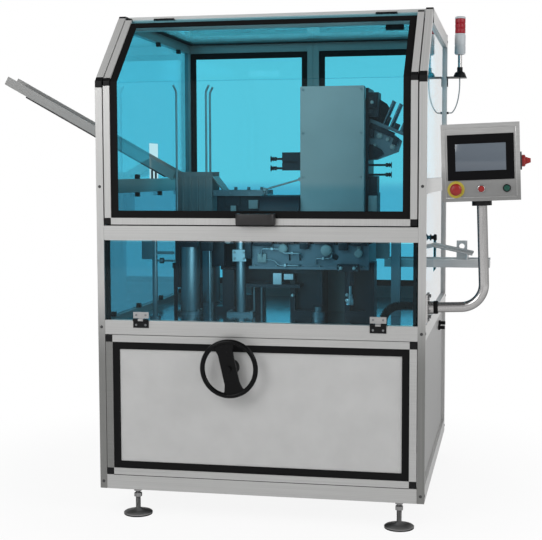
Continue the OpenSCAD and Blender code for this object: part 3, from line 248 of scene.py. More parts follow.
cable_route = [
    (64, -66, 1780), (64, -66, 1765), (64, -65, 1745), (63, -63, 1725), (61, -60, 1705),
    (58, -56, 1685), (54, -51, 1667), (49, -46, 1650), (43, -40, 1636), (37, -34, 1625),
    (31, -28, 1617), (26, -22, 1612), (21, -17, 1610), (15, -15, 1610), (8, -15, 1610),
]
route = [at(WIDTH + x, DEPTH + y, z) for x, y, z in cable_route]
cable_curve = bpy.data.curves.new("tower_lead", "CURVE")
cable_curve.dimensions = "3D"
cable_curve.bevel_depth = 0.003
cable_curve.bevel_resolution = 4
cable_curve.use_fill_caps = True
spline = cable_curve.splines.new("BEZIER")
spline.bezier_points.add(len(route) - 1)
for knot, point in zip(spline.bezier_points, route):
    knot.co = point
    knot.handle_left_type = knot.handle_right_type = "AUTO"
cable_curve.materials.append(plastic("cable_sheath", (0.42, 0.43, 0.44), 0.5))
tower_lead = bpy.data.objects.new("tower_lead", cable_curve)
bpy.context.scene.collection.objects.link(tower_lead)
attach(tower_lead, "root")
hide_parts("tower_cable")


# Levelling feet
# Turned stainless feet on rubber soles. The threaded stems screw into the bottom beams and are
# locked by nuts.
def turned(mesh, outline, place, steps):
    """Adds a lathe shape: points of radius and height, spun round the place's Z axis."""
    points = [mesh.verts.new(place @ Vector((r, 0, z))) for r, z in outline]
    edges = [mesh.edges.new(pair) for pair in zip(points, points[1:])]
    axis = place.to_3x3() @ Vector((0, 0, 1))
    bmesh.ops.spin(
        mesh, geom=points + edges, cent=place.translation, axis=axis,
        angle=2 * pi, steps=steps, use_merge=True,
    )


def bevelled(mesh, edges, width, segments=2):
    """Rounds these edges."""
    bmesh.ops.bevel(
        mesh, geom=list(dict.fromkeys(edges)), offset=width, affect="EDGES",
        segments=segments, profile=0.5, material=-1,
    )


def rounded(mesh, verts, width):
    """Rounds every edge at these corners."""
    bevelled(mesh, (e for v in verts for e in v.link_edges), width)


def make(name, mesh, finish, body, slot, *nodes, crease=32):
    """Makes a piece of a mesh that is drawn in millimetres, and hangs it on its body."""
    bmesh.ops.remove_doubles(mesh, verts=mesh.verts, dist=0.002)
    bmesh.ops.recalc_face_normals(mesh, faces=mesh.faces)
    mesh.transform(TO_ROW)
    data = bpy.data.meshes.new(name)
    mesh.to_mesh(data)
    mesh.free()
    data.shade_smooth()
    data.set_sharp_from_angle(angle=radians(crease))
    data.materials.append(finish)
    obj = bpy.data.objects.new(name, data)
    bpy.context.scene.collection.objects.link(obj)
    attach(obj, body)
    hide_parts(*nodes)


def streaks(place, along, scale_along, turn):
    """Fine noise that is drawn out along one axis."""
    scale = [420, 420, 420]
    scale["xyz".index(along)] = scale_along
    return place.stretch(scale, turn).noise(1, 3)


def brushed(name, along, colour, roughness=0.3, turn=(0, 0, 0), metal=0.85, rim=0.0, painted_shade=None):
    """Brushed steel with strokes along one axis.

    The rim's share paints shade on its edges, and painted shade also falls where the mask gives 1.
    """
    edge_tint = 1 - 0.8 * rim
    fixed = {"Metallic": metal, "Specular Tint": (edge_tint, edge_tint, edge_tint, 1)}
    material, shader, place = principled(name, fixed)
    strokes = streaks(place, along, 9, turn)
    cloud = place.noise(6, 3)
    tone = 0.6 * strokes.ramp(0.25, 0.75) + 0.4 * cloud
    steel = tone.blend(shade(colour, 0.74), colour)
    # Painted shade: the colour darkens where the mask gives 1.
    if painted_shade:
        steel = painted_shade(place).blend(steel, shade(colour, 0.45))
    # Painted shade on the edges that face away from the view, for the dark surroundings that they
    # mirror.
    facing_away = place.add("ShaderNodeLayerWeight", {}, {"Blend": 0.5}, 1)
    edges = rim * facing_away.maths("POWER", facing_away, 1.3)
    edges.blend(steel, shade(colour, 0.08)).feed(shader.inputs["Base Color"])
    (roughness + 0.14 * strokes + 0.06 * cloud).feed(shader.inputs["Roughness"])
    bump(shader, strokes, 0.04, 0.0002)
    return material


foot_steel = brushed("foot_steel", "z", (0.42, 0.42, 0.42), 0.24, rim=0.8)
foot_rubber = plastic("foot_rubber", (0.009, 0.009, 0.01), 0.7, 900, 0.3, 0.2)
feet, soles = bmesh.new(), bmesh.new()
pad = [(0, 4), (58, 4), (60, 6), (60, 9), (56, 12), (34, 16), (20, 20), (13, 25), (10, 27)]
thread = [(10.3 - 1.2 * (i % 2), 28 + 1.3 * i) for i in range(56)]
foot_height, nut_radius = 105, 17
stem_end = [(10, 102), (10, foot_height), (0, foot_height)]
sole = [(0, 0), (58, 0), (59.5, 1.5), (59.5, 4), (0, 4)]
for x in (160, 1250):
    for y in (15, DEPTH - 15):
        floor = Matrix.Translation((x, y, -foot_height))
        turned(feet, pad + thread + stem_end, floor, 36)
        turned(soles, sole, floor, 36)
        for low, high in ((74, 90), (98, foot_height)):
            nut = bmesh.ops.create_cone(
                feet, cap_ends=True, segments=6, radius1=nut_radius, radius2=nut_radius,
                depth=high - low, matrix=floor @ Matrix.Translation((0, 0, (low + high) / 2)),
            )
            rounded(feet, nut["verts"], 1)
make("turned_feet", feet, foot_steel, "root", "stainless", "levelling_feet")
make("foot_soles", soles, foot_rubber, "root", "rubber")


# Frame of aluminium profile
# Clear anodised extrusions, 30 mm square posts and 30 by 60 mm beams, satin with faint die lines
# along their length. Each joint is drawn tight by a bolt under a pressed-in plug.
def anodised(name, along, turn=(0, 0, 0), painted_shade=None):
    """Satin anodised aluminium with die lines along one axis.

    It is matt above the knee, and carries painted shade where the mask gives 1.
    """
    material, shader, place = principled(name, {"Specular IOR Level": 0.5})
    lines = streaks(place, along, 1.5, turn)
    cloud = place.noise(3.2, 3)
    tone = 0.55 * lines.ramp(0.25, 0.75) + 0.45 * cloud
    silver = tone.blend((0.50, 0.50, 0.495), (0.66, 0.66, 0.65))
    # Painted shade: a darker silver where the mask gives 1.
    if painted_shade:
        shaded_silver = tone.blend((0.19, 0.19, 0.185), (0.25, 0.25, 0.24))
        silver = painted_shade(place).blend(silver, shaded_silver)
    silver.feed(shader.inputs["Base Color"])
    above_knee = place.axis(2).ramp(1.77, 1.80)
    (0.50 + 0.12 * cloud - 0.42 * above_knee).feed(shader.inputs["Metallic"])
    (0.32 + 0.16 * lines + 0.06 * cloud).feed(shader.inputs["Roughness"])
    bump(shader, lines, 0.05, 0.0002)
    return material


def dress(finish, *nodes, edge=0.0012):
    """Gives CAD nodes their finish, and rounds their sharp edges a little."""
    for name in nodes:
        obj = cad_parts[name]
        obj.data.materials.clear()
        obj.data.materials.append(finish)
        if edge:
            weld = obj.modifiers.new("weld", "WELD")
            weld.merge_threshold = 0.00001
            rounding = obj.modifiers.new("rounding", "BEVEL")
            rounding.width, rounding.segments = edge, 2
            rounding.limit_method, rounding.angle_limit = "ANGLE", radians(35)
            shading = obj.modifiers.new("shading", "WEIGHTED_NORMAL")
            shading.keep_sharp = False


def facing(way, *point):
    """A place on a face of the machine, with its Z axis pointing out of that face."""
    turns = {
        "up": (0, "X"), "front": (pi / 2, "X"), "rear": (-pi / 2, "X"),
        "right": (pi / 2, "Y"), "left": (-pi / 2, "Y"),
    }
    angle, axis = turns[way]
    return Matrix.Translation(point) @ Matrix.Rotation(angle, 4, axis)


def block(mesh, low, high, edge, place=Matrix()):
    """Adds a box between two corners with its edges rounded."""
    low, high = Vector(low), Vector(high)
    middle, size = Matrix.Translation((low + high) / 2), Matrix.Diagonal((*(high - low), 1))
    made = bmesh.ops.create_cube(mesh, size=1, matrix=place @ middle @ size)
    rounded(mesh, made["verts"], edge)


def low_down(place):
    """Painted shade, darker towards the floor, where the base shades the front posts."""
    return 0.9 - 0.9 * place.axis(2).ramp(0.62, 1.0)


def left_stile(place):
    """Painted shade on the left stile of the base's front frame."""
    return 0.9 - 0.9 * place.axis(0).ramp(-0.462, -0.460)


def behind_sheets(place):
    """Painted shade in patches, on members seen through the tinted sheets."""
    return 0.7 + 0.3 * place.noise(3)


def rear_left(place):
    """Painted shade in patches at the back, and none on the right rear post."""
    return behind_sheets(place) * (1 - place.axis(0).ramp(0.6, 0.7))


def left_beams(place):
    """Painted shade in patches on the left side's beams."""
    return (0.6 + 0.3 * place.noise(3)) * (1 - place.axis(0).ramp(0.0, 0.1))


SLOPE = radians(47.3)
dress(anodised("upright_profile", "z", painted_shade=low_down), "front_posts")
dress(anodised("rear_profile", "z", painted_shade=rear_left), "rear_posts")
dress(anodised("door_profile", "z"), "door_frame", edge=0)
dress(anodised("panel_profile", "x", painted_shade=left_stile), "base_front_frame", edge=0)
dress(anodised("sloped_profile", "z", (SLOPE, 0, 0)), "sloped_posts")
dress(anodised("cross_profile", "x"), "front_beams")
dress(anodised("rear_cross_profile", "x", painted_shade=behind_sheets), "rear_beams")
dress(anodised("depth_profile", "y", painted_shade=left_beams), "side_beams")

plug_grey = plastic("plug_grey", (0.06, 0.06, 0.062), 0.5)
plugs = bmesh.new()
plug = [(0, 1.0), (3.4, 1.0), (4.0, 1.7), (5.6, 1.4), (6.2, 0.4), (6.2, -1), (0, -1)]
post_middles = (15, WIDTH - 15)
plug_places = [facing("front", x, 0, z) for x in post_middles for z in (30, 680, 1260)]
plug_places += [facing("rear", x, DEPTH, z) for x in post_middles for z in (30, 680, 1260, 1960)]
for way, x in (("left", 0), ("right", WIDTH)):
    plug_places += [facing(way, x, 15, z) for z in (30, 680, 1070)]
    plug_places += [facing(way, x, DEPTH - 15, z) for z in (30, 695, 1960)]
for place in plug_places:
    turned(plugs, plug, place, 20)
make("profile_plugs", plugs, plug_grey, "root", "block")
# A thin black strip along the joint under the base's front frame stands in for the shadow line
# there: painted shade.
joint = bmesh.new()
block(joint, (61, -0.4, 58.8), (1289, 4, 61.2), 0.3)
make("panel_joint_shadow", joint, foot_rubber, "root", "rubber")

# Black joint blocks, clips and rubber
# Moulded nylon blocks cap the knees, the tops and the corners of the framed sheets. Rubber bands
# are pressed in between the sheets and their frames, and strips seal the gap round the door.
black_nylon = plastic("black_nylon", (0.009, 0.009, 0.010), 0.48, gloss=0.2)
dress(black_nylon, "corner_blocks", "door_blocks", "panel_clips", "door_switch", edge=0.002)
dress(black_nylon, "hinge_bases", "door_hinges", "arm_collar", "tower_base", edge=0.0006)
rubber = plastic("black_rubber", (0.007, 0.007, 0.0075), 0.72, 900, 0.3, 0.15)
dress(rubber, "panel_bands", "flap_seals", "conduit", edge=0.0008)
dress(rubber, "door_band", edge=0)
caps = bmesh.new()
for x0, x1 in ((0, 30), (645, 705), (WIDTH - 30, WIDTH)):
    block(caps, (x0, DEPTH - 30, 1989), (x1, DEPTH, 1994), 1.5)
make("post_caps", caps, black_nylon, "root", "block")
seals = bmesh.new()
knee = 1690
up_the_slope = Matrix.Translation((0, 0, knee)) @ Matrix.Rotation(-SLOPE, 4, "X")
block(seals, (30, 30, 1092), (1320, 33, 1116), 0.8)
for x0, x1 in ((22, 44), (1306, 1328)):
    block(seals, (x0, 30, 1116), (x1, 33, knee - 12), 0.8)
    block(seals, (x0, 30, 14), (x1, 33, 410), 0.8, up_the_slope)
make("door_seals", seals, rubber, "root", "rubber")


# Clear guards
# Blue tinted acrylic, 6 mm thick, with polished faces and a faint film of dust and wiping marks.
# The door's sheets are the palest and those at the sides and the back the deepest.
def acrylic(name, tint, low_tint):
    """Clear tinted sheet with a thin gloss on top, and a tint of its own below the middle beam."""
    material = bpy.data.materials.new(name)
    tree, surface = open_tree(material)
    place = coordinates(tree)
    film = place.stretch((1, 1, 0.35)).noise(4, 4)
    slant = place.add("ShaderNodeLayerWeight", {}, {"Blend": 0.5}, 1)
    upper, lower = (
        place.add("ShaderNodeBsdfTransparent", {}, {"Color": (*colour, 1)})
        for colour in (tint, low_tint)
    )
    above_beam = place.axis(2).ramp(1.34, 1.39)
    through = place.add("ShaderNodeMixShader", {}, {0: above_beam, 1: lower, 2: upper})
    gloss = place.add("ShaderNodeBsdfGlossy", {}, {"Color": (1, 1, 1, 1), "Roughness": 0.03})
    share = 0.012 + slant.maths("POWER", slant, 5) + 0.006 * film.ramp(0.45, 0.75)
    place.add("ShaderNodeMixShader", {}, {0: share, 1: through, 2: gloss}).feed(surface)
    return material


front_acrylic = acrylic("front_acrylic", (0.70, 0.885, 0.925), (0.54, 0.80, 0.87))
side_acrylic = acrylic("side_acrylic", (0.37, 0.78, 0.875), (0.355, 0.60, 0.68))
deep_acrylic = acrylic("deep_acrylic", (0.43, 0.855, 0.93), (0.43, 0.80, 0.89))
dress(front_acrylic, "door_glass", "flap_glass", edge=0)
dress(side_acrylic, "side_panels", edge=0)
dress(deep_acrylic, "rear_panels", "roof_panel", edge=0)


# White base sheets
# Powder coated steel sheets round the base, with the fine orange peel of the coat. They are pressed
# into the grooves of the profiles, and those at the sides are darkened with painted shade.
def at_sides(place):
    """1 on the sheets at the left and right, which carry painted shade, and 0 on the others."""
    frame_middle = 0.1531
    offset = place.axis(0) - frame_middle
    return offset.maths("ABSOLUTE", offset).ramp(0.640, 0.645)


white_coat = plastic("white_powder_coat", (0.66, 0.66, 0.655), 0.42, 700, 0.12, painted_shade=at_sides)
dress(white_coat, "base_panels", edge=0)


# Tables, pillars and bed
# A ground base table and upper table joined by turned pillars, and a painted cast bed on dark
# columns with the carton drive. Every foot and flange is bolted down.
def screws(mesh, radius, height, *places):
    """Adds socket head screws, each standing on its place."""
    r, h = radius, height
    head = [
        (0, 0.45 * h), (0.45 * r, 0.45 * h), (0.52 * r, h), (0.86 * r, h),
        (r, 0.85 * h), (r, -0.5), (0, -0.5),
    ]
    for place in places:
        turned(mesh, head, place, 12)


ground = brushed("ground_steel", "x", (0.36, 0.38, 0.40), 0.34)
dress(ground, "upper_table")
dress(brushed("polished_table", "x", (0.46, 0.49, 0.53), 0.05, metal=1.0), "table_plate")
dress(brushed("turned_steel", "z", (0.36, 0.39, 0.42), 0.24, rim=0.75), "pillars", edge=0.0008)
grey_paint = plastic("grey_paint", (0.30, 0.30, 0.30), 0.5, 700)
dark_paint = plastic("dark_paint", (0.013, 0.018, 0.027), 0.45, 700, gloss=0.3)
dress(plastic("bed_paint", (0.16, 0.18, 0.215), 0.45, 700), "machine_bed", edge=0.0015)
dress(dark_paint, "bed_supports", edge=0.0015)
bolt_steel = brushed("bolt_steel", "z", (0.30, 0.31, 0.32), 0.3)
bolts = bmesh.new()
flange_top, bolt_circle = 694, 51
for x, y in ((254, 520), (254, 900), (1000, 900)):
    for k in range(6):
        angle = pi / 6 + k * pi / 3
        spot = x + bolt_circle * cos(angle), y + bolt_circle * sin(angle), flange_top
        screws(bolts, 6, 8, facing("up", *spot))
screws(bolts, 5, 6, *(facing("up", x, y, flange_top) for x in (440, 540) for y in (500, 540)))
screws(bolts, 5, 6, *(facing("up", 560 + 97 * i, 494, 902) for i in range(6)))
screws(bolts, 5, 5, *(facing("front", x, 490, z) for x in (468, 510) for z in (935, 962)))
screws(bolts, 4, 4, *(facing("front", x, 456, z) for x in (940, 1019) for z in (892, 908)))
make("drive_bolts", bolts, bolt_steel, "root", "machined")


# Pieces of the drive
# Painted brackets, cam boxes and plates hang from the upper table and the bed. Thin bent pipes of
# bright steel are clipped to the bed's front.
def pipe(mesh, corners, radius, bend):
    """Adds a round pipe through corners that are rounded off by a bend."""
    sides = 12
    corners = [Vector(c) for c in corners]
    path = corners[:1]
    for before, corner, after in zip(corners, corners[1:], corners[2:]):
        first = corner + bend * (before - corner).normalized()
        last = corner + bend * (after - corner).normalized()
        steps = (0, 0.2, 0.4, 0.6, 0.8, 1)
        path += [first.lerp(corner, t).lerp(corner.lerp(last, t), t) for t in steps]
    path += corners[-1:]
    spokes = [2 * pi * k / sides for k in range(sides)]
    circle = [Vector((radius * cos(a), radius * sin(a), 0)) for a in spokes]
    rings = []
    for i, point in enumerate(path):
        way = path[min(i + 1, len(path) - 1)] - path[max(i - 1, 0)]
        turn = Matrix.Translation(point) @ way.to_track_quat("Z", "Y").to_matrix().to_4x4()
        rings.append([mesh.verts.new(turn @ spot) for spot in circle])
    for low, high in zip(rings, rings[1:]):
        for k in range(sides):
            mesh.faces.new((low[k - 1], low[k], high[k], high[k - 1]))
    mesh.faces.new(rings[0])
    mesh.faces.new(rings[-1])


def blocks(mesh, boxes, edge, place=Matrix()):
    """Adds a rounded box for each pair of corners."""
    for low, high in boxes:
        block(mesh, low, high, edge, place)


UNDER_TABLE = 1060
brackets = bmesh.new()
blocks(brackets, [
    ((190, 500, 800), (214, 522, UNDER_TABLE)), ((216, 470, 985), (300, 492, UNDER_TABLE)),
    ((350, 540, 896), (408, 562, UNDER_TABLE)), ((318, 476, 968), (372, 496, UNDER_TABLE)),
    ((420, 476, 1000), (466, 488, UNDER_TABLE)), ((519, 470, 936), (547, 498, UNDER_TABLE)),
    ((556, 474, 992), (640, 496, UNDER_TABLE)), ((660, 468, 1006), (742, 494, UNDER_TABLE)),
    ((764, 474, 980), (802, 497, UNDER_TABLE)), ((826, 470, 1002), (920, 494, UNDER_TABLE)),
    ((936, 474, 976), (975, 497, UNDER_TABLE)), ((990, 470, 996), (1062, 494, UNDER_TABLE)),
    ((413, 600, 822), (857, 612, 890)), ((520, 596, 680), (580, 640, 822)),
    ((448, 640, 680), (520, 660, 760)), ((366, 640, 872), (560, 656, UNDER_TABLE)),
    ((452, 632, 850), (486, 656, 880)), ((1086, 700, 1000), (1146, 712, UNDER_TABLE)),
], 2)
make("drive_brackets", brackets, dark_paint, "root", "dark_paint")
housings = bmesh.new()
blocks(housings, [
    ((857, 700, 680), (957, 760, 890)), ((1090, 560, 936), (1148, 600, UNDER_TABLE)),
    ((572, 488, 918), (612, 500, 958)),
], 3)
for x, z, radius in ((440, 1016, 15), (690, 982, 20), (882, 976, 24), (1024, 962, 18)):
    cam = [(0, 22), (0.7 * radius, 22), (radius, 18), (radius, 0), (0, 0)]
    turned(housings, cam, facing("front", x, 492, z), 24)
for x, z in ((690, 982), (882, 976), (1024, 962)):
    block(housings, (x - 8, 488, z), (x + 8, 500, 1004), 2)
block(housings, (432, 486, 1012), (448, 494, UNDER_TABLE), 2)
make("drive_housings", housings, grey_paint, "root", "grey_paint")
pipes = bmesh.new()
pipe(pipes, [
    (592, 486, 944), (592, 478, 980), (690, 478, 980), (690, 474, 962),
    (770, 474, 962), (770, 494, 940),
], 3.5, 12)
pipe(pipes, [
    (612, 490, 930), (650, 480, 930), (668, 480, 908), (764, 480, 908), (764, 496, 908),
], 3, 10)
pipe(pipes, [(836, 496, 915), (836, 482, 940), (905, 482, 940), (905, 490, 970)], 3.5, 12)
for x, z in ((640, 980), (730, 962), (700, 908), (870, 940)):
    block(pipes, (x - 6, 472, z - 6), (x + 6, 501, z + 6), 1.5)
pipe_bright = brushed("pipe_bright", "x", (0.40, 0.42, 0.45), 0.3)
make("drive_pipes", pipes, pipe_bright, "root", "machined")

# Air cylinder's rod and fittings
# The valve's short cylinder has a chromed rod with a fork at its end, and white push-in fittings.
rod_chrome = brushed("rod_chrome", "z", (0.62, 0.63, 0.65), 0.18)
rod = bmesh.new()
rod_outline = [(0, 60), (6, 60), (6, 24), (9, 22), (9, 16), (11, 15), (11, 0), (0, 0)]
turned(rod, rod_outline, Matrix.Translation((989, 472, 762)), 24)
block(rod, (974, 462, 738), (1004, 482, 766), 3)
make("cylinder_rod", rod, rod_chrome, "root", "machined")
fitting_white = plastic("fitting_white", (0.55, 0.56, 0.57), 0.4)
fittings = bmesh.new()
fitting = [(0, 18), (4, 18), (6.5, 16), (6.5, 9), (5, 8), (7.5, 7), (7.5, 0), (0, -1)]
for spot in (
    (966, 540, 752), (966, 540, 776), (722, 540, 770), (950, 456, 900), (1008, 456, 900),
):
    turned(fittings, fitting, facing("front", *spot), 20)
make("air_fittings", fittings, fitting_white, "root", "lamp_body")


# Product path
# A painted magazine with turned guide rods takes the products from the chute, and a belt with
# pushers between two rails carries them on. A skirt and small stops stand under the rails, and a
# round-topped cover hides the motor.
def cut_plate(mesh, outline, depth, place, edge=1.0, segments=2):
    """Adds a plate cut to an outline in the place's XY plane, with its rims rounded."""
    face = mesh.faces.new([mesh.verts.new(place @ Vector((x, y, 0))) for x, y in outline])
    grown = bmesh.ops.extrude_face_region(mesh, geom=[face])["geom"]
    tops = [part for part in grown if isinstance(part, bmesh.types.BMVert)]
    faces = [face] + [part for part in grown if isinstance(part, bmesh.types.BMFace)]
    bmesh.ops.translate(mesh, verts=tops, vec=place.to_3x3() @ Vector((0, 0, depth)))
    bevelled(mesh, (e for f in faces for e in f.edges), edge, segments)


dress(plastic("slate_paint", (0.15, 0.155, 0.16), 0.5, 700), "product_magazine", edge=0.0015)
dress(brushed("rod_steel", "z", (0.42, 0.44, 0.46), 0.26), "magazine_rods", edge=0)
dress(brushed("rail_steel", "x", (0.22, 0.23, 0.25), 0.3), "infeed_conveyor")
dress(dark_paint, "motor_cover", edge=0.0015)
belt = bmesh.new()
block(belt, (318, 718, 1222), (575, 802, 1226), 1)
make("conveyor_belt", belt, rubber, "root", "rubber")
TABLE_TOP = 1085
skirt = bmesh.new()
skirt_outline = [
    (330, 1209), (330, TABLE_TOP), (432, TABLE_TOP), (440, 1104), (468, 1104),
    (476, TABLE_TOP), (575, TABLE_TOP), (575, 1209),
]
cut_plate(skirt, skirt_outline, 5, facing("front", 0, 728, 0), 0.8)
make("conveyor_skirt", skirt, dark_paint, "root", "dark_paint")
stops = bmesh.new()
blocks(stops, [
    ((352, 702, TABLE_TOP), (392, 723, 1136)), ((398, 708, TABLE_TOP), (424, 723, 1164)),
    ((506, 696, TABLE_TOP), (548, 723, 1118)), ((484, 706, 1150), (528, 723, 1190)),
], 2)
make("conveyor_stops", stops, grey_paint, "root", "grey_paint")
path_screws = bmesh.new()
for x in (151, 305):
    screws(path_screws, 4, 4, *(facing("front", x, 690, z) for z in (1110, 1200, 1290)))
screws(path_screws, 4, 4, *(facing("front", x, 700, 1222) for x in (330, 400, 490, 562)))
make("path_screws", path_screws, bolt_steel, "root", "machined")

# Conduit's ribs
# The plastic conduit from the table to the arm is corrugated. Its ends are pushed into the table's
# gland and the arm's root.
ribs = bmesh.new()
rib = [(11, -3), (16.5, -2.6), (17.5, -1.4), (17.5, 1.4), (16.5, 2.6), (11, 3), (11, -3)]
bend_x, bend_z, bend = 1247, 715, 70
rib_places = [Matrix.Translation((bend_x - bend, 60, 684 + 7.5 * i)) for i in range(5)]
for i in range(15):
    angle = i * pi / 28
    place = Matrix.Translation((bend_x - bend * cos(angle), 60, bend_z + bend * sin(angle)))
    rib_places.append(place @ Matrix.Rotation(angle, 4, "Y"))
for i in range(1, 11):
    place = Matrix.Translation((bend_x + 7.6 * i, 60, bend_z + bend))
    rib_places.append(place @ Matrix.Rotation(pi / 2, 4, "Y"))
for place in rib_places:
    turned(ribs, rib, place, 24)
make("conduit_ribs", ribs, rubber, "root", "rubber")

# Carton feeder
# A tall folded cover, a dark housing with its side plate, suction cups on stems and a leaning
# magazine of rods. Clamps and guides are bolted to the bracket, and a link rod works the left
# suction block.
dress(grey_paint, "feeder_cover", edge=0.003)
dress(dark_paint, "suction_heads", "carton_feeder", edge=0.0015)
dress(brushed("magazine_steel", "x", (0.20, 0.22, 0.25), 0.3), "carton_magazine", edge=0.0008)
LEAN = Matrix.Translation((1107, 0, 1531)) @ Matrix.Rotation(radians(23), 4, "Y")
guides, clamps = bmesh.new(), bmesh.new()
upper_guide = [
    (1045, 1550), (1107, 1526), (1123, 1542), (1139, 1590),
    (1121, 1621), (1083, 1646), (1045, 1650),
]
lower_guide = [(1045, 1372), (1078, 1376), (1110, 1398), (1100, 1416), (1060, 1440), (1045, 1440)]
cut_plate(guides, upper_guide, 12, facing("front", 0, 726, 0))
cut_plate(guides, lower_guide, 16, facing("front", 0, 692, 0))
blocks(guides, [
    ((-52, 670, -40), (66, 691, -16)), ((8, 694, 0), (22, 722, 40)),
    ((48, 694, 0), (70, 724, 26)), ((70, 668, -66), (92, 691, -30)),
], 2, LEAN)
blocks(guides, [
    ((1045, 640, 1600), (1078, 652, 1650)), ((1046, 642, 1570), (1070, 652, 1592)),
    ((1045, 660, 1470), (1066, 692, 1512)),
], 2)
make("feeder_guides", guides, dark_paint, "root", "dark_paint")
for x, y, z, r in (
    (1092, 690, 1478, 13), (1128, 690, 1462, 9), (1150, 690, 1428, 12),
    (1070, 690, 1436, 8), (1062, 640, 1625, 8),
):
    clamp = [(0, 14), (0.6 * r, 14), (0.7 * r, 10), (r, 9), (r, -1), (0, -1)]
    turned(clamps, clamp, facing("front", x, y, z), 20)
block(clamps, (1046, 640, 1090), (1086, 651, 1212), 3)
make("feeder_clamps", clamps, grey_paint, "root", "grey_paint")
cover_screws = bmesh.new()
for x in (759, 1018):
    screws(cover_screws, 5, 3, *(facing("front", x, 600, z) for z in (1100, 1295, 1490, 1682)))
make("cover_screws", cover_screws, bolt_steel, "root", "machined")
link = bmesh.new()
start, end = Vector((575, 636, 1239)), Vector((738, 636, 1285))
along = (end - start).to_track_quat("Z", "Y").to_matrix().to_4x4()
reach = (end - start).length
turned(link, [(0, 0), (4, 0), (4, reach), (0, reach)], Matrix.Translation(start) @ along, 16)
for middle in (start, end):
    turned(link, [(0, 7), (8, 7), (9, 5), (9, -5), (8, -7), (0, -7)], facing("front", *middle), 20)
foot = [(0, 0), (7, 0), (7, 4), (5, 6), (5, 28), (0, 28)]
turned(link, foot, Matrix.Translation((575, 636, 1212)), 20)
block(link, (730, 626, 1277), (746, 646, 1293), 2)
make("feeder_link", link, bolt_steel, "root", "machined")

# Infeed chute and outfeed tray
# Folded stainless sheet. The chute carries a black strip underneath and rests on two rods, and
# the tray reaches out through the right guard.
chute_turn = (0, radians(-29), 0)
chute_steel = brushed("brushed_chute", "x", (0.34, 0.34, 0.335), 0.36, chute_turn, 0.6)
dress(chute_steel, "infeed_chute", edge=0.0008)
dress(brushed("brushed_tray", "x", (0.74, 0.74, 0.74), 0.3), "outfeed_tray")
black_coat = plastic("black_powder_coat", (0.03, 0.03, 0.032), 0.4, 600)
dress(black_coat, "chute_strip")

# Guard door's handle
# A black bridge handle moulded in nylon, screwed to the bottom rail through its two feet.
handle = bmesh.new()
bridge_outline = [
    (592, 0), (592, -22), (596, -31), (606, -37), (625, -38), (719, -38), (738, -37), (748, -31),
    (752, -22), (752, 0), (728, 0), (728, -20), (722, -28), (622, -28), (616, -20), (616, 0),
]
cut_plate(handle, bridge_outline, 46, Matrix.Translation((0, 0, 1106)), 4, 3)
# The handle's black is lighter than the other black nylon: painted sheen.
handle_nylon = plastic("handle_nylon", (0.024, 0.023, 0.024), 0.4)
make("bridge_handle", handle, handle_nylon, "door", "block", "door_handle", crease=40)

# Flap hinges
# Pressed hinges: a bright leaf on the clear flap and a black leaf on the beam, each held by two
# low socket screws.
hinge_silver = brushed("hinge_silver", "x", (0.55, 0.55, 0.55), 0.3)
dress(hinge_silver, "flap_hinges", edge=0.0005)
leaf_screws, base_screws = bmesh.new(), bmesh.new()
for x in (166, 206, 1144, 1184):
    screws(leaf_screws, 4.5, 2, facing("front", x, -1, 733))
    screws(base_screws, 4.5, 2, facing("front", x, -3, 692))
make("flap_screws", leaf_screws, bolt_steel, "flap", "machined")
make("beam_screws", base_screws, bolt_steel, "root", "machined")

# Handwheel
# Black polished duroplast wheel with a broad flat web that flares into the rim, keyed on the
# drive shaft in a flanged bearing.
wheel_black = plastic("wheel_black", (0.004, 0.004, 0.0045), 0.26, gloss=0.14)
dress(wheel_black, "handwheel", edge=0.002)
dress(black_coat, "wheel_bearing")

# Operator panel's arm
# A bent stainless pipe on a bolted plate, with a black ring at its root.
pipe_steel = brushed("pipe_steel", "z", (0.66, 0.65, 0.645), 0.14, metal=0.95, rim=0.85)
dress(pipe_steel, "panel_arm", edge=0.0008)
ARM = Matrix.Translation((WIDTH, 60, 780)) @ Matrix.Rotation(radians(-2), 4, "Y")
ring = bmesh.new()
ring_outline = [(20, 28), (25, 28), (26, 30), (26, 42), (24, 45), (20, 45), (20, 28)]
turned(ring, ring_outline, ARM @ Matrix.Rotation(pi / 2, 4, "Y"), 36)
make("arm_ring", ring, rubber, "root", "rubber")
plate_bolts = bmesh.new()
screws(plate_bolts, 7, 7, *(facing("right", 1358, y, z) for y in (14, 102) for z in (738, 822)))
make("arm_bolts", plate_bolts, bolt_steel, "root", "machined")


# Operator box
# A folded stainless box. Its face carries a black display, a mushroom button on a yellow disc and
# two push buttons in collars, and its right side a red isolator on a dark plate.
def low_on_box(place):
    """Painted shade, darker towards the box's underside."""
    return 0.85 - 0.85 * place.axis(2).ramp(1.36, 1.46)


BOX = ARM @ Matrix.Translation((226, 0, 415.3))
box_steel = brushed("box_steel", "x", (0.62, 0.62, 0.615), 0.34, painted_shade=low_on_box)
dress(box_steel, "panel_box")
dress(plastic("display_black", (0.004, 0.004, 0.005), 0.45, gloss=0.1), "panel_display", edge=0.002)
lip = bmesh.new()
for x0, z0, x1, z1 in (
    (-138, 12, 138, 16), (-138, 284, 138, 288), (-138, 16.2, -134, 283.8), (134, 16.2, 138, 283.8),
):
    block(lip, (x0, -38.5, z0), (x1, -35.5, z1), 1.2, BOX)
lip_steel = brushed("lip_steel", "z", (0.70, 0.70, 0.695), 0.26)
make("face_lip", lip, lip_steel, "operator_box", "stainless")
material, shader, place = principled("screen_glass", {"Roughness": 0.12, "Coat Weight": 0.4})
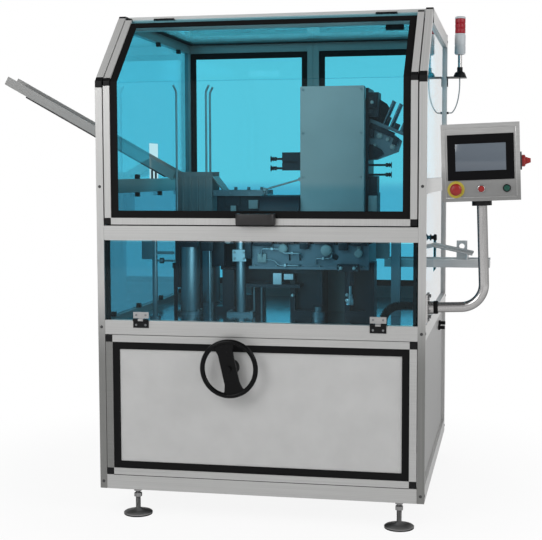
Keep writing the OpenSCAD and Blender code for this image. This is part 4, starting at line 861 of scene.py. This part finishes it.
# Painted light: the screen's colour grows lighter towards its top.
glow = place.axis(2).ramp(1.40, 1.52)
tint = 0.8 * glow + 0.2 * place.noise(5, 2)
tint.blend((0.105, 0.13, 0.165), (0.135, 0.165, 0.20)).feed(shader.inputs["Base Color"])
screen = bmesh.new()
block(screen, (-96.5, -41.8, 117.5), (96.5, -40.5, 222.5), 0.5, BOX)
make("display_screen", screen, material, "operator_box", "screen")
dress(plastic("warning_yellow", (0.62, 0.50, 0.06), 0.4), "stop_plate", edge=0.0005)


def on_face(shift):
    """A place in the row of buttons, so far to the right of the face's middle."""
    return BOX @ Matrix.Translation((shift, -36, 47)) @ Matrix.Rotation(pi / 2, 4, "X")


stop_red = plastic("stop_red", (0.36, 0.022, 0.02), 0.32)
button_gap = 97
mushroom = bmesh.new()
mushroom_outline = [
    (0, 30), (8, 29.6), (15, 28), (20, 25), (22.6, 21), (23, 18.5), (22, 16), (17, 14.2),
    (8, 14), (8, -20), (0, -20),
]
turned(mushroom, mushroom_outline, on_face(-button_gap), 40)
make("mushroom_head", mushroom, stop_red, "mushroom", "red", "mushroom_button")
button = [
    (0, 12), (7, 11.8), (10, 11.2), (11.4, 9.8), (11.7, 8), (11.7, 4), (8, 4), (8, -20), (0, -20),
]
collar = [(12, 0), (12, 8.6), (13, 9.2), (14.2, 8.6), (15, 7), (15, 0), (12, 0)]
collar_chrome = brushed("collar_chrome", "z", (0.80, 0.80, 0.80), 0.12, rim=0.7)
start_green = plastic("start_green", (0.006, 0.085, 0.06), 0.32)
for name, shift, finish, slot, edge_finish in (
    ("stop", 0, stop_red, "red", collar_chrome),
    ("start", button_gap, start_green, "green", black_nylon),
):
    place = on_face(shift)
    cap, rim = bmesh.new(), bmesh.new()
    turned(cap, button, place, 32)
    make(name + "_cap", cap, finish, name, slot, name + "_button")
    turned(rim, collar, place, 32)
    make(name + "_collar", rim, edge_finish, "operator_box", "block", "button_bezels")

dress(black_coat, "isolator_plate", edge=0.002)
SIDE = BOX @ Matrix.Translation((156.3, 0, 150)) @ Matrix.Rotation(pi / 2, 4, "Y")
knob = bmesh.new()
knob_outline = [(0, 13), (19, 13), (21.5, 12), (23, 9.5), (23, 0), (8, 0), (8, -18), (0, -18)]
turned(knob, knob_outline, SIDE, 40)
grip = [(-21, 4), (21, 4), (13, 18), (8, 33.5), (-8, 33.5), (-13, 18)]
across = SIDE @ Matrix.Translation((0, 7, 0)) @ Matrix.Rotation(pi / 2, 4, "X")
cut_plate(knob, grip, 14, across, 2.2, 3)
make("isolator_grip", knob, stop_red, "isolator", "red", "isolator_knob")

# Tower light
# A black foot on the bracket, a thin bright pole, a pale plastic body and a red lens in three
# rings under a pale cap.
TOWER = Matrix.Translation((1414, 1334, 0))
lamp_pale = plastic("lamp_pale", (0.60, 0.64, 0.665), 0.35)
pole, body, lens, cap = bmesh.new(), bmesh.new(), bmesh.new(), bmesh.new()
turned(pole, [(0, 1829), (10, 1829), (10, 1894), (0, 1894)], TOWER, 28)
make("tower_pole", pole, pipe_steel, "root", "stainless")
body_outline = [
    (0, 1891), (20, 1891), (24.5, 1894), (27, 1900), (27, 1932), (25.6, 1933.5), (25.6, 1936),
    (27, 1937.5), (27, 1986), (26, 1988), (25, 1988.5), (25, 1994), (0, 1994),
]
turned(body, body_outline, TOWER, 40)
make("tower_housing", body, lamp_pale, "root", "lamp_body", "tower_body")
lens_foot, lens_top, ring_height = 1994, 2066, 24
rings = [(0, lens_foot)]
for low in range(lens_foot, lens_top, ring_height):
    rings += [
        (23.5, low), (25.6, low + 1.5), (26, low + 4),
        (26, low + 20), (25.6, low + 22.5), (23.5, low + ring_height),
    ]
fixed = {"Roughness": 0.2, "Coat Weight": 0.1, "Specular IOR Level": 0.3}
material, shader, place = principled("lens_red", fixed)
bands = {"wave_type": "BANDS", "bands_direction": "X"}
flutes = place.add("ShaderNodeTexWave", bands, {"Vector": place, "Scale": 140})
flutes.blend((0.28, 0.003, 0.010), (0.44, 0.006, 0.022)).feed(shader.inputs["Base Color"])
bump(shader, flutes, 0.3, 0.0006)
turned(lens, rings + [(0, lens_top)], TOWER, 40)
make("tower_rings", lens, material, "root", "lamp_red", "tower_lens")
cap_outline = [
    (0, lens_top), (26, lens_top), (26.4, 2068), (26, 2073), (22, 2076.5), (12, 2078), (0, 2078),
]
turned(cap, cap_outline, TOWER, 40)
make("tower_cap", cap, lamp_pale, "root", "lamp_body")

# Guard's wedge knob
# A black clamping knob on the right guard, next to the outfeed opening.
wedge = bmesh.new()
wedge_outline = [
    (0, 26), (11, 26), (14, 23), (14, 15), (8, 11), (8, 4), (13, 3), (13, -1), (0, -1),
]
turned(wedge, wedge_outline, facing("right", 1338, 440, 1038), 28)
make("wedge_knob", wedge, black_nylon, "root", "block")
